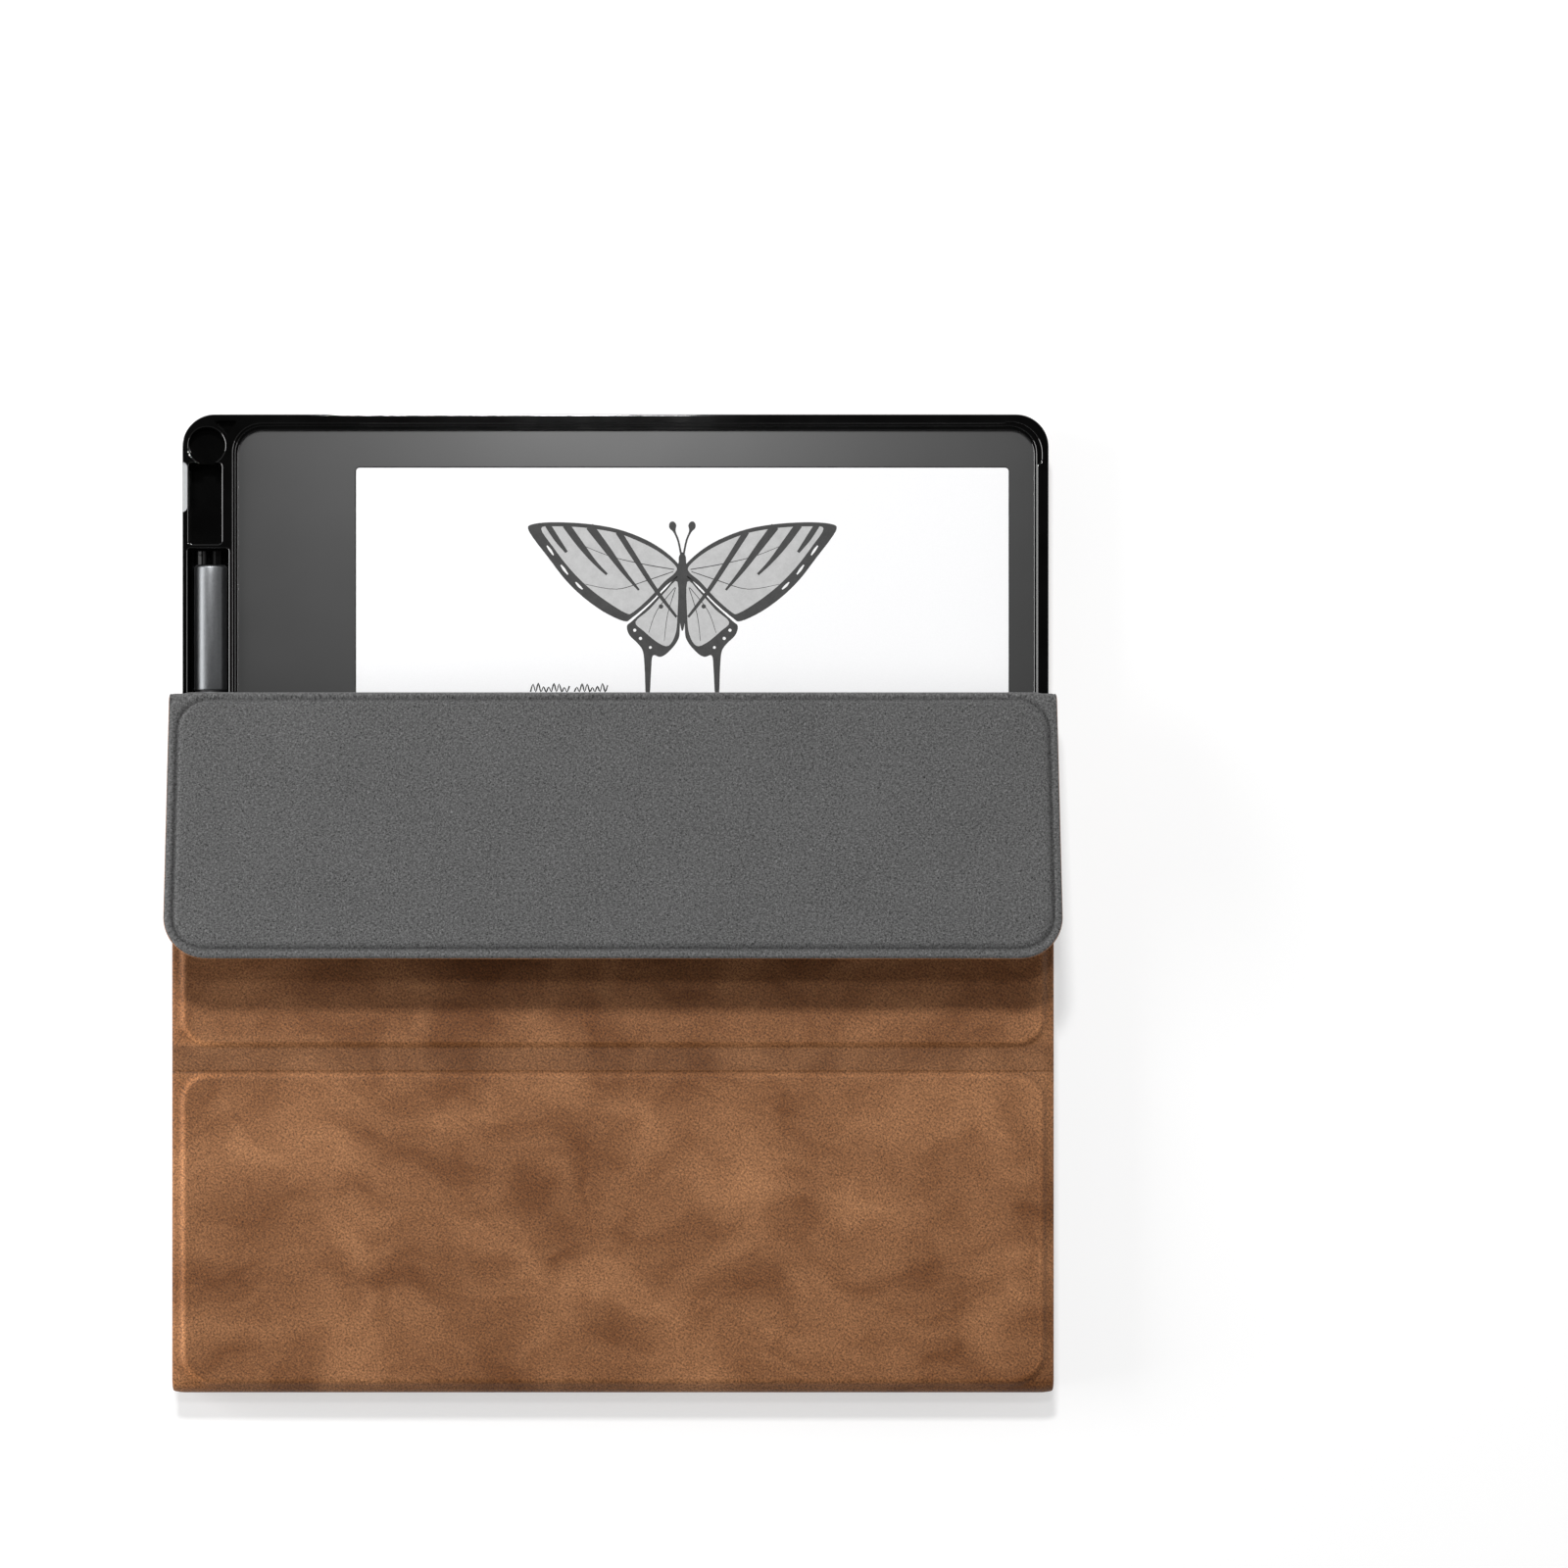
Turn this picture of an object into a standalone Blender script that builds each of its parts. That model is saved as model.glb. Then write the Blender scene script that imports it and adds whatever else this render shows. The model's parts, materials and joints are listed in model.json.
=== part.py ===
"""E-reader in a folding leather case, lying on its back with the cover half open, and its stylus in the case.

Run it with: blender --background --python part.py
The frame: metres, +Z up out of the screen, +Y towards the top of the page, the origin on the table under the
middle. The cover is drawn flat over the screen, and two hinge empties then fold its last panel back.
"""

import math

import bmesh
import bpy

MM = 0.001

# E-reader, the driving dimensions
DEVICE_WIDTH = 196 * MM
DEVICE_HEIGHT = 229.7 * MM
DEVICE_THICKNESS = 5.8 * MM
DEVICE_LEFT = -92.0 * MM
DEVICE_BOTTOM = -113.9 * MM
DEVICE_CORNER = 6.5 * MM
SCREEN_LEFT = -62.7 * MM
SCREEN_WIDTH = 159.2 * MM
SCREEN_BOTTOM = -103.7 * MM
SCREEN_HEIGHT = 210 * MM

# Case, the driving dimensions
COVER_WIDTH = 214 * MM
CASE_HEIGHT = 238 * MM
CASE_THICKNESS = 15.4 * MM
PANEL_THICKNESS = 3.0 * MM
STRIP_THICKNESS = 1.5 * MM
SKIN = 0.7 * MM
PANEL_1_TOP = -41.2 * MM
PANEL_2_BOTTOM = -34.5 * MM
PANEL_2_TOP = 48.4 * MM
PANEL_3_BOTTOM = 54.5 * MM
FLAP_OPENING_DEG = 14.0

# Stylus, the driving dimensions
STYLUS_LENGTH = 162 * MM
STYLUS_RADIUS = 4.0 * MM
STYLUS_X = -98.25 * MM
STYLUS_Z = 7.45 * MM
STYLUS_TOP = 82.7 * MM

GAP = 0.3 * MM
THIN_GAP = 0.1 * MM
CORNER_STEPS = 8
TURN_STEPS = 32

# Levels, from the table up
BACK_TOP = 2.1 * MM
BACK_SKIN = 0.8 * MM
TRAY_BOTTOM = BACK_TOP + 0.2 * MM
TRAY_FLOOR = 3.5 * MM
TRAY_TOP = 12.0 * MM
FOOT_HEIGHT = 0.6 * MM
DEVICE_Z = TRAY_FLOOR + THIN_GAP + FOOT_HEIGHT
DEVICE_TOP = DEVICE_Z + DEVICE_THICKNESS
LIP_BOTTOM = DEVICE_TOP + 0.15 * MM
LIP_TOP = LIP_BOTTOM + 0.85 * MM
COVER_TOP = CASE_THICKNESS
COVER_BOTTOM = COVER_TOP - PANEL_THICKNESS
COVER_MIDDLE = (COVER_TOP + COVER_BOTTOM) / 2
STRIP_TOP = COVER_MIDDLE + STRIP_THICKNESS / 2
STRIP_BOTTOM = COVER_MIDDLE - STRIP_THICKNESS / 2

# Edges, seen from above
CASE_TOP = CASE_HEIGHT / 2
SPINE_OUT = -CASE_HEIGHT / 2
SPINE_IN = SPINE_OUT + PANEL_THICKNESS
COVER_RIGHT = COVER_WIDTH / 2
DEVICE_RIGHT = DEVICE_LEFT + DEVICE_WIDTH
DEVICE_UPPER = DEVICE_BOTTOM + DEVICE_HEIGHT
DEVICE_BOX = (DEVICE_LEFT, DEVICE_RIGHT, DEVICE_BOTTOM, DEVICE_UPPER)
SCREEN_BOX = (SCREEN_LEFT, SCREEN_LEFT + SCREEN_WIDTH, SCREEN_BOTTOM, SCREEN_BOTTOM + SCREEN_HEIGHT)
TRAY_LEFT = -104.8 * MM
TRAY_RIGHT = 106.0 * MM
TRAY_LOW = SPINE_IN + 0.2 * MM
TRAY_BOX = (TRAY_LEFT, TRAY_RIGHT, TRAY_LOW, CASE_TOP)
TRAY_RADII = (5 * MM, 5 * MM, 8 * MM, 8 * MM)
LIP_OVERLAP = 0.7 * MM

# Port and button side of the e-reader
PORT_Y = 101.0 * MM
PORT_Z = 6.75 * MM
PORT_SIZE = (7.3 * MM, 8.94 * MM, 3.26 * MM)
BUTTON_Y = 92.1 * MM
BUTTON_SIZE = (2.2 * MM, 7.0 * MM, 2.4 * MM)
BUTTON_PROUD = 0.55 * MM
SHELL_WALL = 1.2 * MM
SHELL_FLOOR = DEVICE_Z + 0.8 * MM
SHELL_TOP = DEVICE_TOP - 0.7 * MM
MID_BOTTOM = 7.6 * MM
MID_TOP = 8.2 * MM

for old in list(bpy.data.objects):
    bpy.data.objects.remove(old, do_unlink=True)
model = bpy.data.collections.new("e_reader")
cutters = bpy.data.collections.new("cutters")
for collection in (model, cutters):
    bpy.context.scene.collection.children.link(collection)


# Materials ----------------------------------------------------------------------------------------------


def material(name, colour, roughness, metallic=0.0):
    made = bpy.data.materials.new(name)
    made.use_nodes = True
    shader = made.node_tree.nodes["Principled BSDF"]
    shader.inputs["Base Color"].default_value = (*colour, 1)
    shader.inputs["Roughness"].default_value = roughness
    shader.inputs["Metallic"].default_value = metallic
    made.diffuse_color = (*colour, 1)
    return made


LEATHER = material("leather", (0.24, 0.12, 0.06), 0.6)
LINING = material("microfibre", (0.12, 0.12, 0.12), 0.9)
BOARD = material("grey_board", (0.35, 0.33, 0.30), 0.9)
TRAY = material("black_moulding", (0.008, 0.008, 0.008), 0.25)
ALUMINIUM = material("aluminium", (0.20, 0.20, 0.21), 0.4, 0.9)
BEZEL = material("bezel_glass", (0.08, 0.08, 0.08), 0.35)
PAPER = material("e_paper", (0.85, 0.85, 0.83), 0.6)
CLEAR = material("light_guide", (0.8, 0.82, 0.82), 0.1)
CIRCUIT = material("circuit_board", (0.02, 0.10, 0.05), 0.5)
STEEL = material("steel", (0.5, 0.5, 0.5), 0.3, 1.0)
FLEX = material("amber_flex", (0.45, 0.20, 0.03), 0.4)
CELL = material("battery_pouch", (0.15, 0.15, 0.16), 0.5)
RUBBER = material("rubber", (0.02, 0.02, 0.02), 0.8)
PEN = material("anodised_grey", (0.10, 0.11, 0.12), 0.35, 0.8)
NIB = material("nib_plastic", (0.03, 0.03, 0.03), 0.5)
MAGNET = material("magnet", (0.6, 0.6, 0.62), 0.25, 1.0)


# Shape builders -----------------------------------------------------------------------------------------


def place(obj, paint):
    """Files the object as a part with its material, or, with no paint, as a cutter."""
    for home in list(obj.users_collection):
        home.objects.unlink(obj)
    (model if paint else cutters).objects.link(obj)
    if paint:
        obj.data.materials.clear()
        obj.data.materials.append(paint)
    else:
        obj.hide_render = True
        obj.display_type = "WIRE"
    return obj


def box(name, x, y, z, paint=None):
    """A block between two x, two y and two z values."""
    spans = (x, y, z)
    bpy.ops.mesh.primitive_cube_add(size=1, location=[sum(span) / 2 for span in spans])
    obj = bpy.context.object
    obj.name = name
    for vertex in obj.data.vertices:
        for axis, span in enumerate(spans):
            vertex.co[axis] *= span[1] - span[0]
    return place(obj, paint)


def rod(name, x, y, z, radius, paint=None, axis="Z", steps=TURN_STEPS):
    """A cylinder along an axis. The span along that axis is a pair, and the other two are its centre."""
    spans = {"X": x, "Y": y, "Z": z}
    ends = spans[axis]
    centre = [sum(span) / 2 if isinstance(span, tuple) else span for span in (x, y, z)]
    turn = {"X": (0, math.pi / 2, 0), "Y": (math.pi / 2, 0, 0), "Z": (0, 0, 0)}[axis]
    bpy.ops.mesh.primitive_cylinder_add(
        vertices=steps, radius=radius, depth=ends[1] - ends[0], location=centre, rotation=turn
    )
    obj = bpy.context.object
    obj.name = name
    return place(obj, paint)


def rounded(edges, radii, inset=0.0):
    """Outline of a rounded rectangle, drawn inwards by inset. Radii run anticlockwise from lower left."""
    x0, x1, y0, y1 = edges[0] + inset, edges[1] - inset, edges[2] + inset, edges[3] - inset
    corners = ((x0, y0, 1, 1, 180), (x1, y0, -1, 1, 270), (x1, y1, -1, -1, 0), (x0, y1, 1, -1, 90))
    points = []
    for (x, y, to_x, to_y, start), full in zip(corners, radii):
        radius = max(full - inset, 0.4 * MM)
        for step in range(CORNER_STEPS + 1):
            angle = math.radians(start + 90 * step / CORNER_STEPS)
            points.append((
                x + to_x * radius + radius * math.cos(angle),
                y + to_y * radius + radius * math.sin(angle),
            ))
    return points


def plate(name, outline, z, paint=None):
    """A flat outline given thickness between two z values, as a closed mesh."""
    curve = bpy.data.curves.new(name, "CURVE")
    curve.dimensions = "2D"
    curve.fill_mode = "BOTH"
    curve.extrude = (z[1] - z[0]) / 2
    spline = curve.splines.new("POLY")
    spline.points.add(len(outline) - 1)
    for point, (x, y) in zip(spline.points, outline):
        point.co = (x, y, 0, 1)
    spline.use_cyclic_u = True
    drawn = bpy.data.objects.new(name + "_outline", curve)
    cutters.objects.link(drawn)
    bpy.context.view_layer.update()
    mesh = bpy.data.meshes.new_from_object(drawn.evaluated_get(bpy.context.evaluated_depsgraph_get()))
    bpy.data.objects.remove(drawn)
    work = bmesh.new()
    work.from_mesh(mesh)
    bmesh.ops.remove_doubles(work, verts=work.verts, dist=0.001 * MM)
    bmesh.ops.recalc_face_normals(work, faces=work.faces)
    work.to_mesh(mesh)
    work.free()
    mesh.name = name
    obj = bpy.data.objects.new(name, mesh)
    obj.location.z = sum(z) / 2
    cutters.objects.link(obj)
    return place(obj, paint)


def turned(name, profile, paint, closed=False):
    """A shape turned about the stylus axis. The profile lists (radius, y), outer side first, top to bottom."""
    mesh = bpy.data.meshes.new(name)
    points = [(radius, 0, y) for radius, y in profile]
    edges = [(i, i + 1) for i in range(len(points) - 1)]
    if closed:
        edges.append((len(points) - 1, 0))
    mesh.from_pydata(points, edges, [])
    obj = bpy.data.objects.new(name, mesh)
    cutters.objects.link(obj)
    screw = obj.modifiers.new("turn", "SCREW")
    screw.steps = screw.render_steps = TURN_STEPS
    screw.use_merge_vertices = True
    screw.merge_threshold = 0.01 * MM
    obj.location = (STYLUS_X, 0, STYLUS_Z)
    obj.rotation_euler.x = -math.pi / 2
    return place(obj, paint)


def combine(target, operation, *others):
    """Cuts the others from the target, or joins them to it."""
    for other in others:
        step = target.modifiers.new(f"{operation.lower()}_{other.name}", "BOOLEAN")
        step.operation = operation
        step.object = other
    return target


def cut(target, *others):
    return combine(target, "DIFFERENCE", *others)


def join(target, *others):
    return combine(target, "UNION", *others)


def hinge(name, y, z, parent=None):
    """An empty on a hinge's axis, which runs along X."""
    empty = bpy.data.objects.new(name, None)
    empty.location = (0, y, z)
    model.objects.link(empty)
    if parent:
        hang(parent, empty)
    return empty


def hang(empty, *objects):
    """Parents objects, and the shapes that cut them, to an empty and leaves them where they are."""
    bpy.context.view_layer.update()
    shapes = [step.object for obj in objects for step in obj.modifiers]
    for obj in (*objects, *shapes):
        obj.parent = empty
        obj.matrix_parent_inverse = empty.matrix_world.inverted()


# Back of the case ---------------------------------------------------------------------------------------

HINGE_CLEARANCE = 1.0 * MM
BACK_EDGES = (-105 * MM, 106 * MM, SPINE_OUT + HINGE_CLEARANCE, CASE_TOP - 0.3 * MM)
BACK_RADII = (2 * MM, 2 * MM, 7 * MM, 7 * MM)
BOARD_MARGIN = 2.6 * MM


def make_back():
    """The leather turns up round its board, and the tray is bonded on top."""
    leather = plate("back_leather", rounded(BACK_EDGES, BACK_RADII), (0, BACK_TOP), LEATHER)
    pocket = plate("back_pocket", rounded(BACK_EDGES, BACK_RADII, BOARD_MARGIN), (BACK_SKIN, 3 * MM))
    cut(leather, pocket)
    board_z = (BACK_SKIN + THIN_GAP, BACK_TOP - THIN_GAP)
    plate("back_board", rounded(BACK_EDGES, BACK_RADII, BOARD_MARGIN + GAP), board_z, BOARD)


# Tray ---------------------------------------------------------------------------------------------------

TROUGH_X = -98.75 * MM
TROUGH_RADIUS = 4.75 * MM
TROUGH_Y = (-84 * MM, 86.4 * MM)
TROUGH_AXIS_Z = 3.0 * MM + TROUGH_RADIUS
PORT_BAY_X = (-102.7 * MM, -95.3 * MM)
PORT_BAY_Y = (87.4 * MM, 106.9 * MM)
PORT_WINDOW_Y = (95.9 * MM, 106.1 * MM)
PORT_WINDOW_Z = (4.0 * MM, 9.7 * MM)
RING_POCKET = (-99.0 * MM, 111.8 * MM, 4.4 * MM)
RING_POCKET_FLOOR = 8.5 * MM
CORNER_POCKET = ((-97.0, 117.3), (-93.4, 114.4), (-92.1, 117.4))
ABOVE = 20 * MM


def make_tray():
    """One moulding: the well for the e-reader with a lip over its edge, a stylus trough and a port bay."""
    device_radii = (DEVICE_CORNER,) * 4
    tray = plate("tray", rounded(TRAY_BOX, TRAY_RADII), (TRAY_BOTTOM, TRAY_TOP), TRAY)
    well = plate("tray_well", rounded(DEVICE_BOX, device_radii, -GAP), (TRAY_FLOOR, LIP_BOTTOM))
    window = plate("tray_window", rounded(DEVICE_BOX, device_radii, LIP_OVERLAP), (TRAY_FLOOR + MM, ABOVE))
    step = plate("tray_step", rounded(DEVICE_BOX, device_radii, -GAP), (LIP_TOP, ABOVE))
    trough_x = (TROUGH_X - TROUGH_RADIUS, TROUGH_X + TROUGH_RADIUS)
    trough = box("trough_slot", trough_x, TROUGH_Y, (TROUGH_AXIS_Z, ABOVE))
    trough_bottom = rod("trough_round", TROUGH_X, TROUGH_Y, TROUGH_AXIS_Z, TROUGH_RADIUS, axis="Y", steps=40)
    bay = box("port_bay", PORT_BAY_X, PORT_BAY_Y, (TRAY_FLOOR, ABOVE))
    passage_y = (PORT_BAY_Y[0] + 0.6 * MM, PORT_BAY_Y[1] - 0.6 * MM)
    passage_x = (PORT_BAY_X[1] - MM, DEVICE_LEFT + MM)
    passage = box("port_passage", passage_x, passage_y, (PORT_WINDOW_Z[0], LIP_BOTTOM - 0.4 * MM))
    side = box("port_window", (TRAY_LEFT - MM, PORT_BAY_X[0] + MM), PORT_WINDOW_Y, PORT_WINDOW_Z)
    x, y, radius = RING_POCKET
    ring = rod("ring_pocket", x, y, (RING_POCKET_FLOOR, ABOVE), radius, steps=32)
    corner_outline = [(px * MM, py * MM) for px, py in CORNER_POCKET]
    corner = plate("corner_pocket", corner_outline[::-1], (9.5 * MM, ABOVE))
    cut(tray, well, window, step, trough, trough_bottom, bay, passage, side, ring, corner)


# E-reader -----------------------------------------------------------------------------------------------

SCREW_PLACES = ((-86.8, -106.0), (-86.8, 109.2), (99.6, 109.2), (99.6, -106.0))
BOSS_RADIUS = 1.9 * MM
SCREW_RADIUS = 0.6 * MM
SCREW_HEAD_RADIUS = 1.3 * MM
FOOT_PLACES = ((-74.0, -96.0), (-74.0, 97.0), (85.0, 97.0), (85.0, -96.0))
MAIN_BOARD_X = (-89.3 * MM, -64 * MM)
MAIN_BOARD_Y = (30 * MM, 105.6 * MM)
MAIN_BOARD_Z = (5.4 * MM, 6.2 * MM)
BATTERY_X = (-42 * MM, 62 * MM)
BATTERY_Y = (-66 * MM, 44 * MM)
BATTERY_Z = (5.2 * MM, 7.4 * MM)
FLEX_SLOT_X = (-69.2 * MM, -67.4 * MM)
FLEX_Y = (58 * MM, 84 * MM)


def spread(middle, size):
    return middle - size / 2, middle + size / 2


def make_housing():
    """Aluminium back shell with screw bosses, rubber feet and openings for the port and the power button."""
    radii = (DEVICE_CORNER,) * 4
    shell = plate("rear_housing", rounded(DEVICE_BOX, radii), (DEVICE_Z, SHELL_TOP), ALUMINIUM)
    cut(shell, plate("shell_pocket", rounded(DEVICE_BOX, radii, SHELL_WALL), (SHELL_FLOOR, ABOVE)))
    wall_x = (DEVICE_LEFT - MM, DEVICE_LEFT + SHELL_WALL + 0.2 * MM)
    port_hole_z = (SHELL_FLOOR + 0.05 * MM, PORT_Z + PORT_SIZE[2] / 2 + 0.15 * MM)
    port_hole = box("port_hole", wall_x, spread(PORT_Y, PORT_SIZE[1] + 0.4 * MM), port_hole_z)
    button_hole_y = spread(BUTTON_Y, BUTTON_SIZE[1] + 0.4 * MM)
    button_hole = box("button_hole", wall_x, button_hole_y, spread(PORT_Z, BUTTON_SIZE[2] + 0.4 * MM))
    cut(shell, port_hole, button_hole)
    for number, (x, y) in enumerate(SCREW_PLACES, 1):
        boss_z = (SHELL_FLOOR - 0.2 * MM, MID_BOTTOM - THIN_GAP)
        join(shell, rod(f"boss_{number}", x * MM, y * MM, boss_z, BOSS_RADIUS, steps=16))
        bore_z = (SHELL_FLOOR + 0.3 * MM, ABOVE)
        cut(shell, rod(f"boss_bore_{number}", x * MM, y * MM, bore_z, SCREW_RADIUS + 0.15 * MM, steps=12))
    for number, (x, y) in enumerate(FOOT_PLACES, 1):
        foot_z = (TRAY_FLOOR + THIN_GAP / 2, DEVICE_Z - THIN_GAP / 2)
        rod(f"rear_foot_{number}", x * MM, y * MM, foot_z, 4.5 * MM, RUBBER)


def make_screws():
    """Each screw is turned about its own axis: a head, and a shank that ends in its boss."""
    head_z = (MID_TOP + THIN_GAP, MID_TOP + 0.8 * MM)
    shank_z = (SHELL_FLOOR + 0.6 * MM, head_z[0] + 0.2 * MM)
    for number, (x, y) in enumerate(SCREW_PLACES, 1):
        screw = rod(f"housing_screw_{number}", x * MM, y * MM, head_z, SCREW_HEAD_RADIUS, STEEL, steps=16)
        shank = rod(f"screw_shank_{number}", x * MM, y * MM, shank_z, SCREW_RADIUS, steps=12)
        slot_z = (head_z[1] - 0.3 * MM, ABOVE)
        slot = box(f"screw_slot_{number}", spread(x * MM, 0.4 * MM), spread(y * MM, 1.6 * MM), slot_z)
        cut(join(screw, shank), slot)


def make_mid_frame():
    """The plate that carries the display, with a rim under the glass and notches for the port side."""
    radii = (DEVICE_CORNER,) * 4
    inset = SHELL_WALL + 0.2 * MM
    rim_top = SHELL_TOP + THIN_GAP
    frame = plate("mid_frame", rounded(DEVICE_BOX, radii, inset), (MID_BOTTOM, rim_top), ALUMINIUM)
    cut(frame, plate("mid_pocket", rounded(DEVICE_BOX, radii, inset + SHELL_WALL), (MID_TOP, ABOVE)))
    notch_y = (BUTTON_Y - 6 * MM, PORT_Y + 5.2 * MM)
    cut(frame, box("mid_notch", (DEVICE_LEFT, -84.5 * MM), notch_y, (0, ABOVE)))
    cut(frame, box("flex_slot", FLEX_SLOT_X, (FLEX_Y[0] - MM, FLEX_Y[1] + MM), (0, ABOVE)))
    for number, (x, y) in enumerate(SCREW_PLACES, 1):
        hole = rod(f"mid_hole_{number}", x * MM, y * MM, (0, ABOVE), SCREW_RADIUS + 0.2 * MM, steps=12)
        cut(frame, hole)


def make_display():
    """From the back: pen digitizer, e-paper panel, light guide with its lamps, and the cover glass."""
    radii = (1.5 * MM,) * 4
    stack = (
        ("digitizer_board", 1.2 * MM, (8.3 * MM, 8.6 * MM), CIRCUIT),
        ("display_panel", 1.2 * MM, (8.7 * MM, 9.1 * MM), PAPER),
        ("light_guide", 0.8 * MM, (9.2 * MM, 9.45 * MM), CLEAR),
    )
    for name, beyond, z, paint in stack:
        plate(name, rounded(SCREEN_BOX, radii, -beyond), z, paint)
    lamp_y = (SCREEN_BOTTOM - 2.6 * MM, SCREEN_BOTTOM - 1.4 * MM)
    box("front_light_strip", (SCREEN_LEFT, SCREEN_LEFT + SCREEN_WIDTH), lamp_y, (8.8 * MM, 9.3 * MM), FLEX)
    glass_z = (SHELL_TOP + 0.2 * MM, DEVICE_TOP)
    plate("cover_glass", rounded(DEVICE_BOX, (DEVICE_CORNER,) * 4, 0.35 * MM), glass_z, BEZEL)


def make_electronics():
    """Battery, main board with its shield, port, button switch and aerial, and the two flex cables."""
    box("battery", BATTERY_X, BATTERY_Y, BATTERY_Z, CELL)
    board = box("main_board", MAIN_BOARD_X, MAIN_BOARD_Y, MAIN_BOARD_Z, CIRCUIT)
    port_x = (DEVICE_LEFT + 0.2 * MM, DEVICE_LEFT + 0.2 * MM + PORT_SIZE[0])
    board_notch_x = (DEVICE_LEFT, port_x[1] + GAP)
    board_notch_y = (PORT_Y - PORT_SIZE[1] / 2 - GAP, MAIN_BOARD_Y[1] + MM)
    cut(board, box("board_notch", board_notch_x, board_notch_y, (0, ABOVE)))
    shield_z = (MAIN_BOARD_Z[1] + THIN_GAP, 7.4 * MM)
    box("shield_can", (-88 * MM, -72.5 * MM), (50 * MM, 80 * MM), shield_z, STEEL)
    make_port(port_x)
    switch_z = (MAIN_BOARD_Z[1] + THIN_GAP, 7.5 * MM)
    box("button_switch", (-89.3 * MM, -87.9 * MM), spread(BUTTON_Y, 3 * MM), switch_z, STEEL)
    box("wifi_aerial", (-90 * MM, -66 * MM), (-98 * MM, -84 * MM), (5.2 * MM, 5.5 * MM), FLEX)
    flex_z = (MAIN_BOARD_Z[1] + THIN_GAP, MAIN_BOARD_Z[1] + 0.4 * MM)
    box("battery_flex", (-70 * MM, BATTERY_X[0] - GAP), (33 * MM, 40 * MM), flex_z, FLEX)
    make_display_flex()


def make_port(x):
    """USB-C socket: a shell open towards the wall, with its contact tongue inside."""
    _, wide, tall = PORT_SIZE
    wall = 0.3 * MM
    socket = box("usb_socket", x, spread(PORT_Y, wide), spread(PORT_Z, tall), STEEL)
    mouth_x = (x[0] - MM, x[1] - MM)
    mouth = box("usb_mouth", mouth_x, spread(PORT_Y, wide - 2 * wall), spread(PORT_Z, tall - 2 * wall))
    tongue_x = (x[0] + 0.9 * MM, x[1] - wall)
    tongue = box("usb_tongue", tongue_x, spread(PORT_Y, 6.7 * MM), spread(PORT_Z, 0.7 * MM))
    join(cut(socket, mouth), tongue)


def make_display_flex():
    """A flat cable that leaves the display panel's edge, drops through the mid frame and reaches the board."""
    thick = 0.25 * MM
    panel_end, slot_x, board_end = -64.3 * MM, -68.2 * MM, -71.5 * MM
    high, low = 8.8 * MM, MAIN_BOARD_Z[1] + THIN_GAP
    # The cable's side outline, drawn in x and z and turned upright afterwards
    outline = [
        (panel_end, high), (panel_end, high + thick), (slot_x - thick, high + thick),
        (slot_x - thick, low + thick), (board_end, low + thick), (board_end, low), (slot_x, low),
        (slot_x, high),
    ]
    flex = plate("display_flex", outline, (-FLEX_Y[1], -FLEX_Y[0]), FLEX)
    flex.location = (0, sum(FLEX_Y) / 2, 0)
    flex.rotation_euler.x = math.pi / 2


def make_power_button():
    """Slides in through the shell's side wall, held in by its flange."""
    outer_x = DEVICE_LEFT - BUTTON_PROUD
    cap_x = (outer_x, outer_x + BUTTON_SIZE[0])
    cap = box("power_button", cap_x, spread(BUTTON_Y, BUTTON_SIZE[1]), spread(PORT_Z, BUTTON_SIZE[2]), TRAY)
    flange_x = (DEVICE_LEFT + SHELL_WALL + 0.2 * MM, outer_x + BUTTON_SIZE[0] + 0.3 * MM)
    flange = box("button_flange", flange_x, spread(BUTTON_Y, 8.2 * MM), spread(PORT_Z, 2.0 * MM))
    join(cap, flange)


# Stylus -------------------------------------------------------------------------------------------------

STYLUS_TIP = STYLUS_TOP - STYLUS_LENGTH
COLLAR_Y = (51.2 * MM, 51.9 * MM)
BARREL_Y = (STYLUS_TIP + 1.5 * MM, 51.1 * MM)
CONE_LENGTH = 14 * MM
BARREL_BORE = 3.2 * MM


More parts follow.
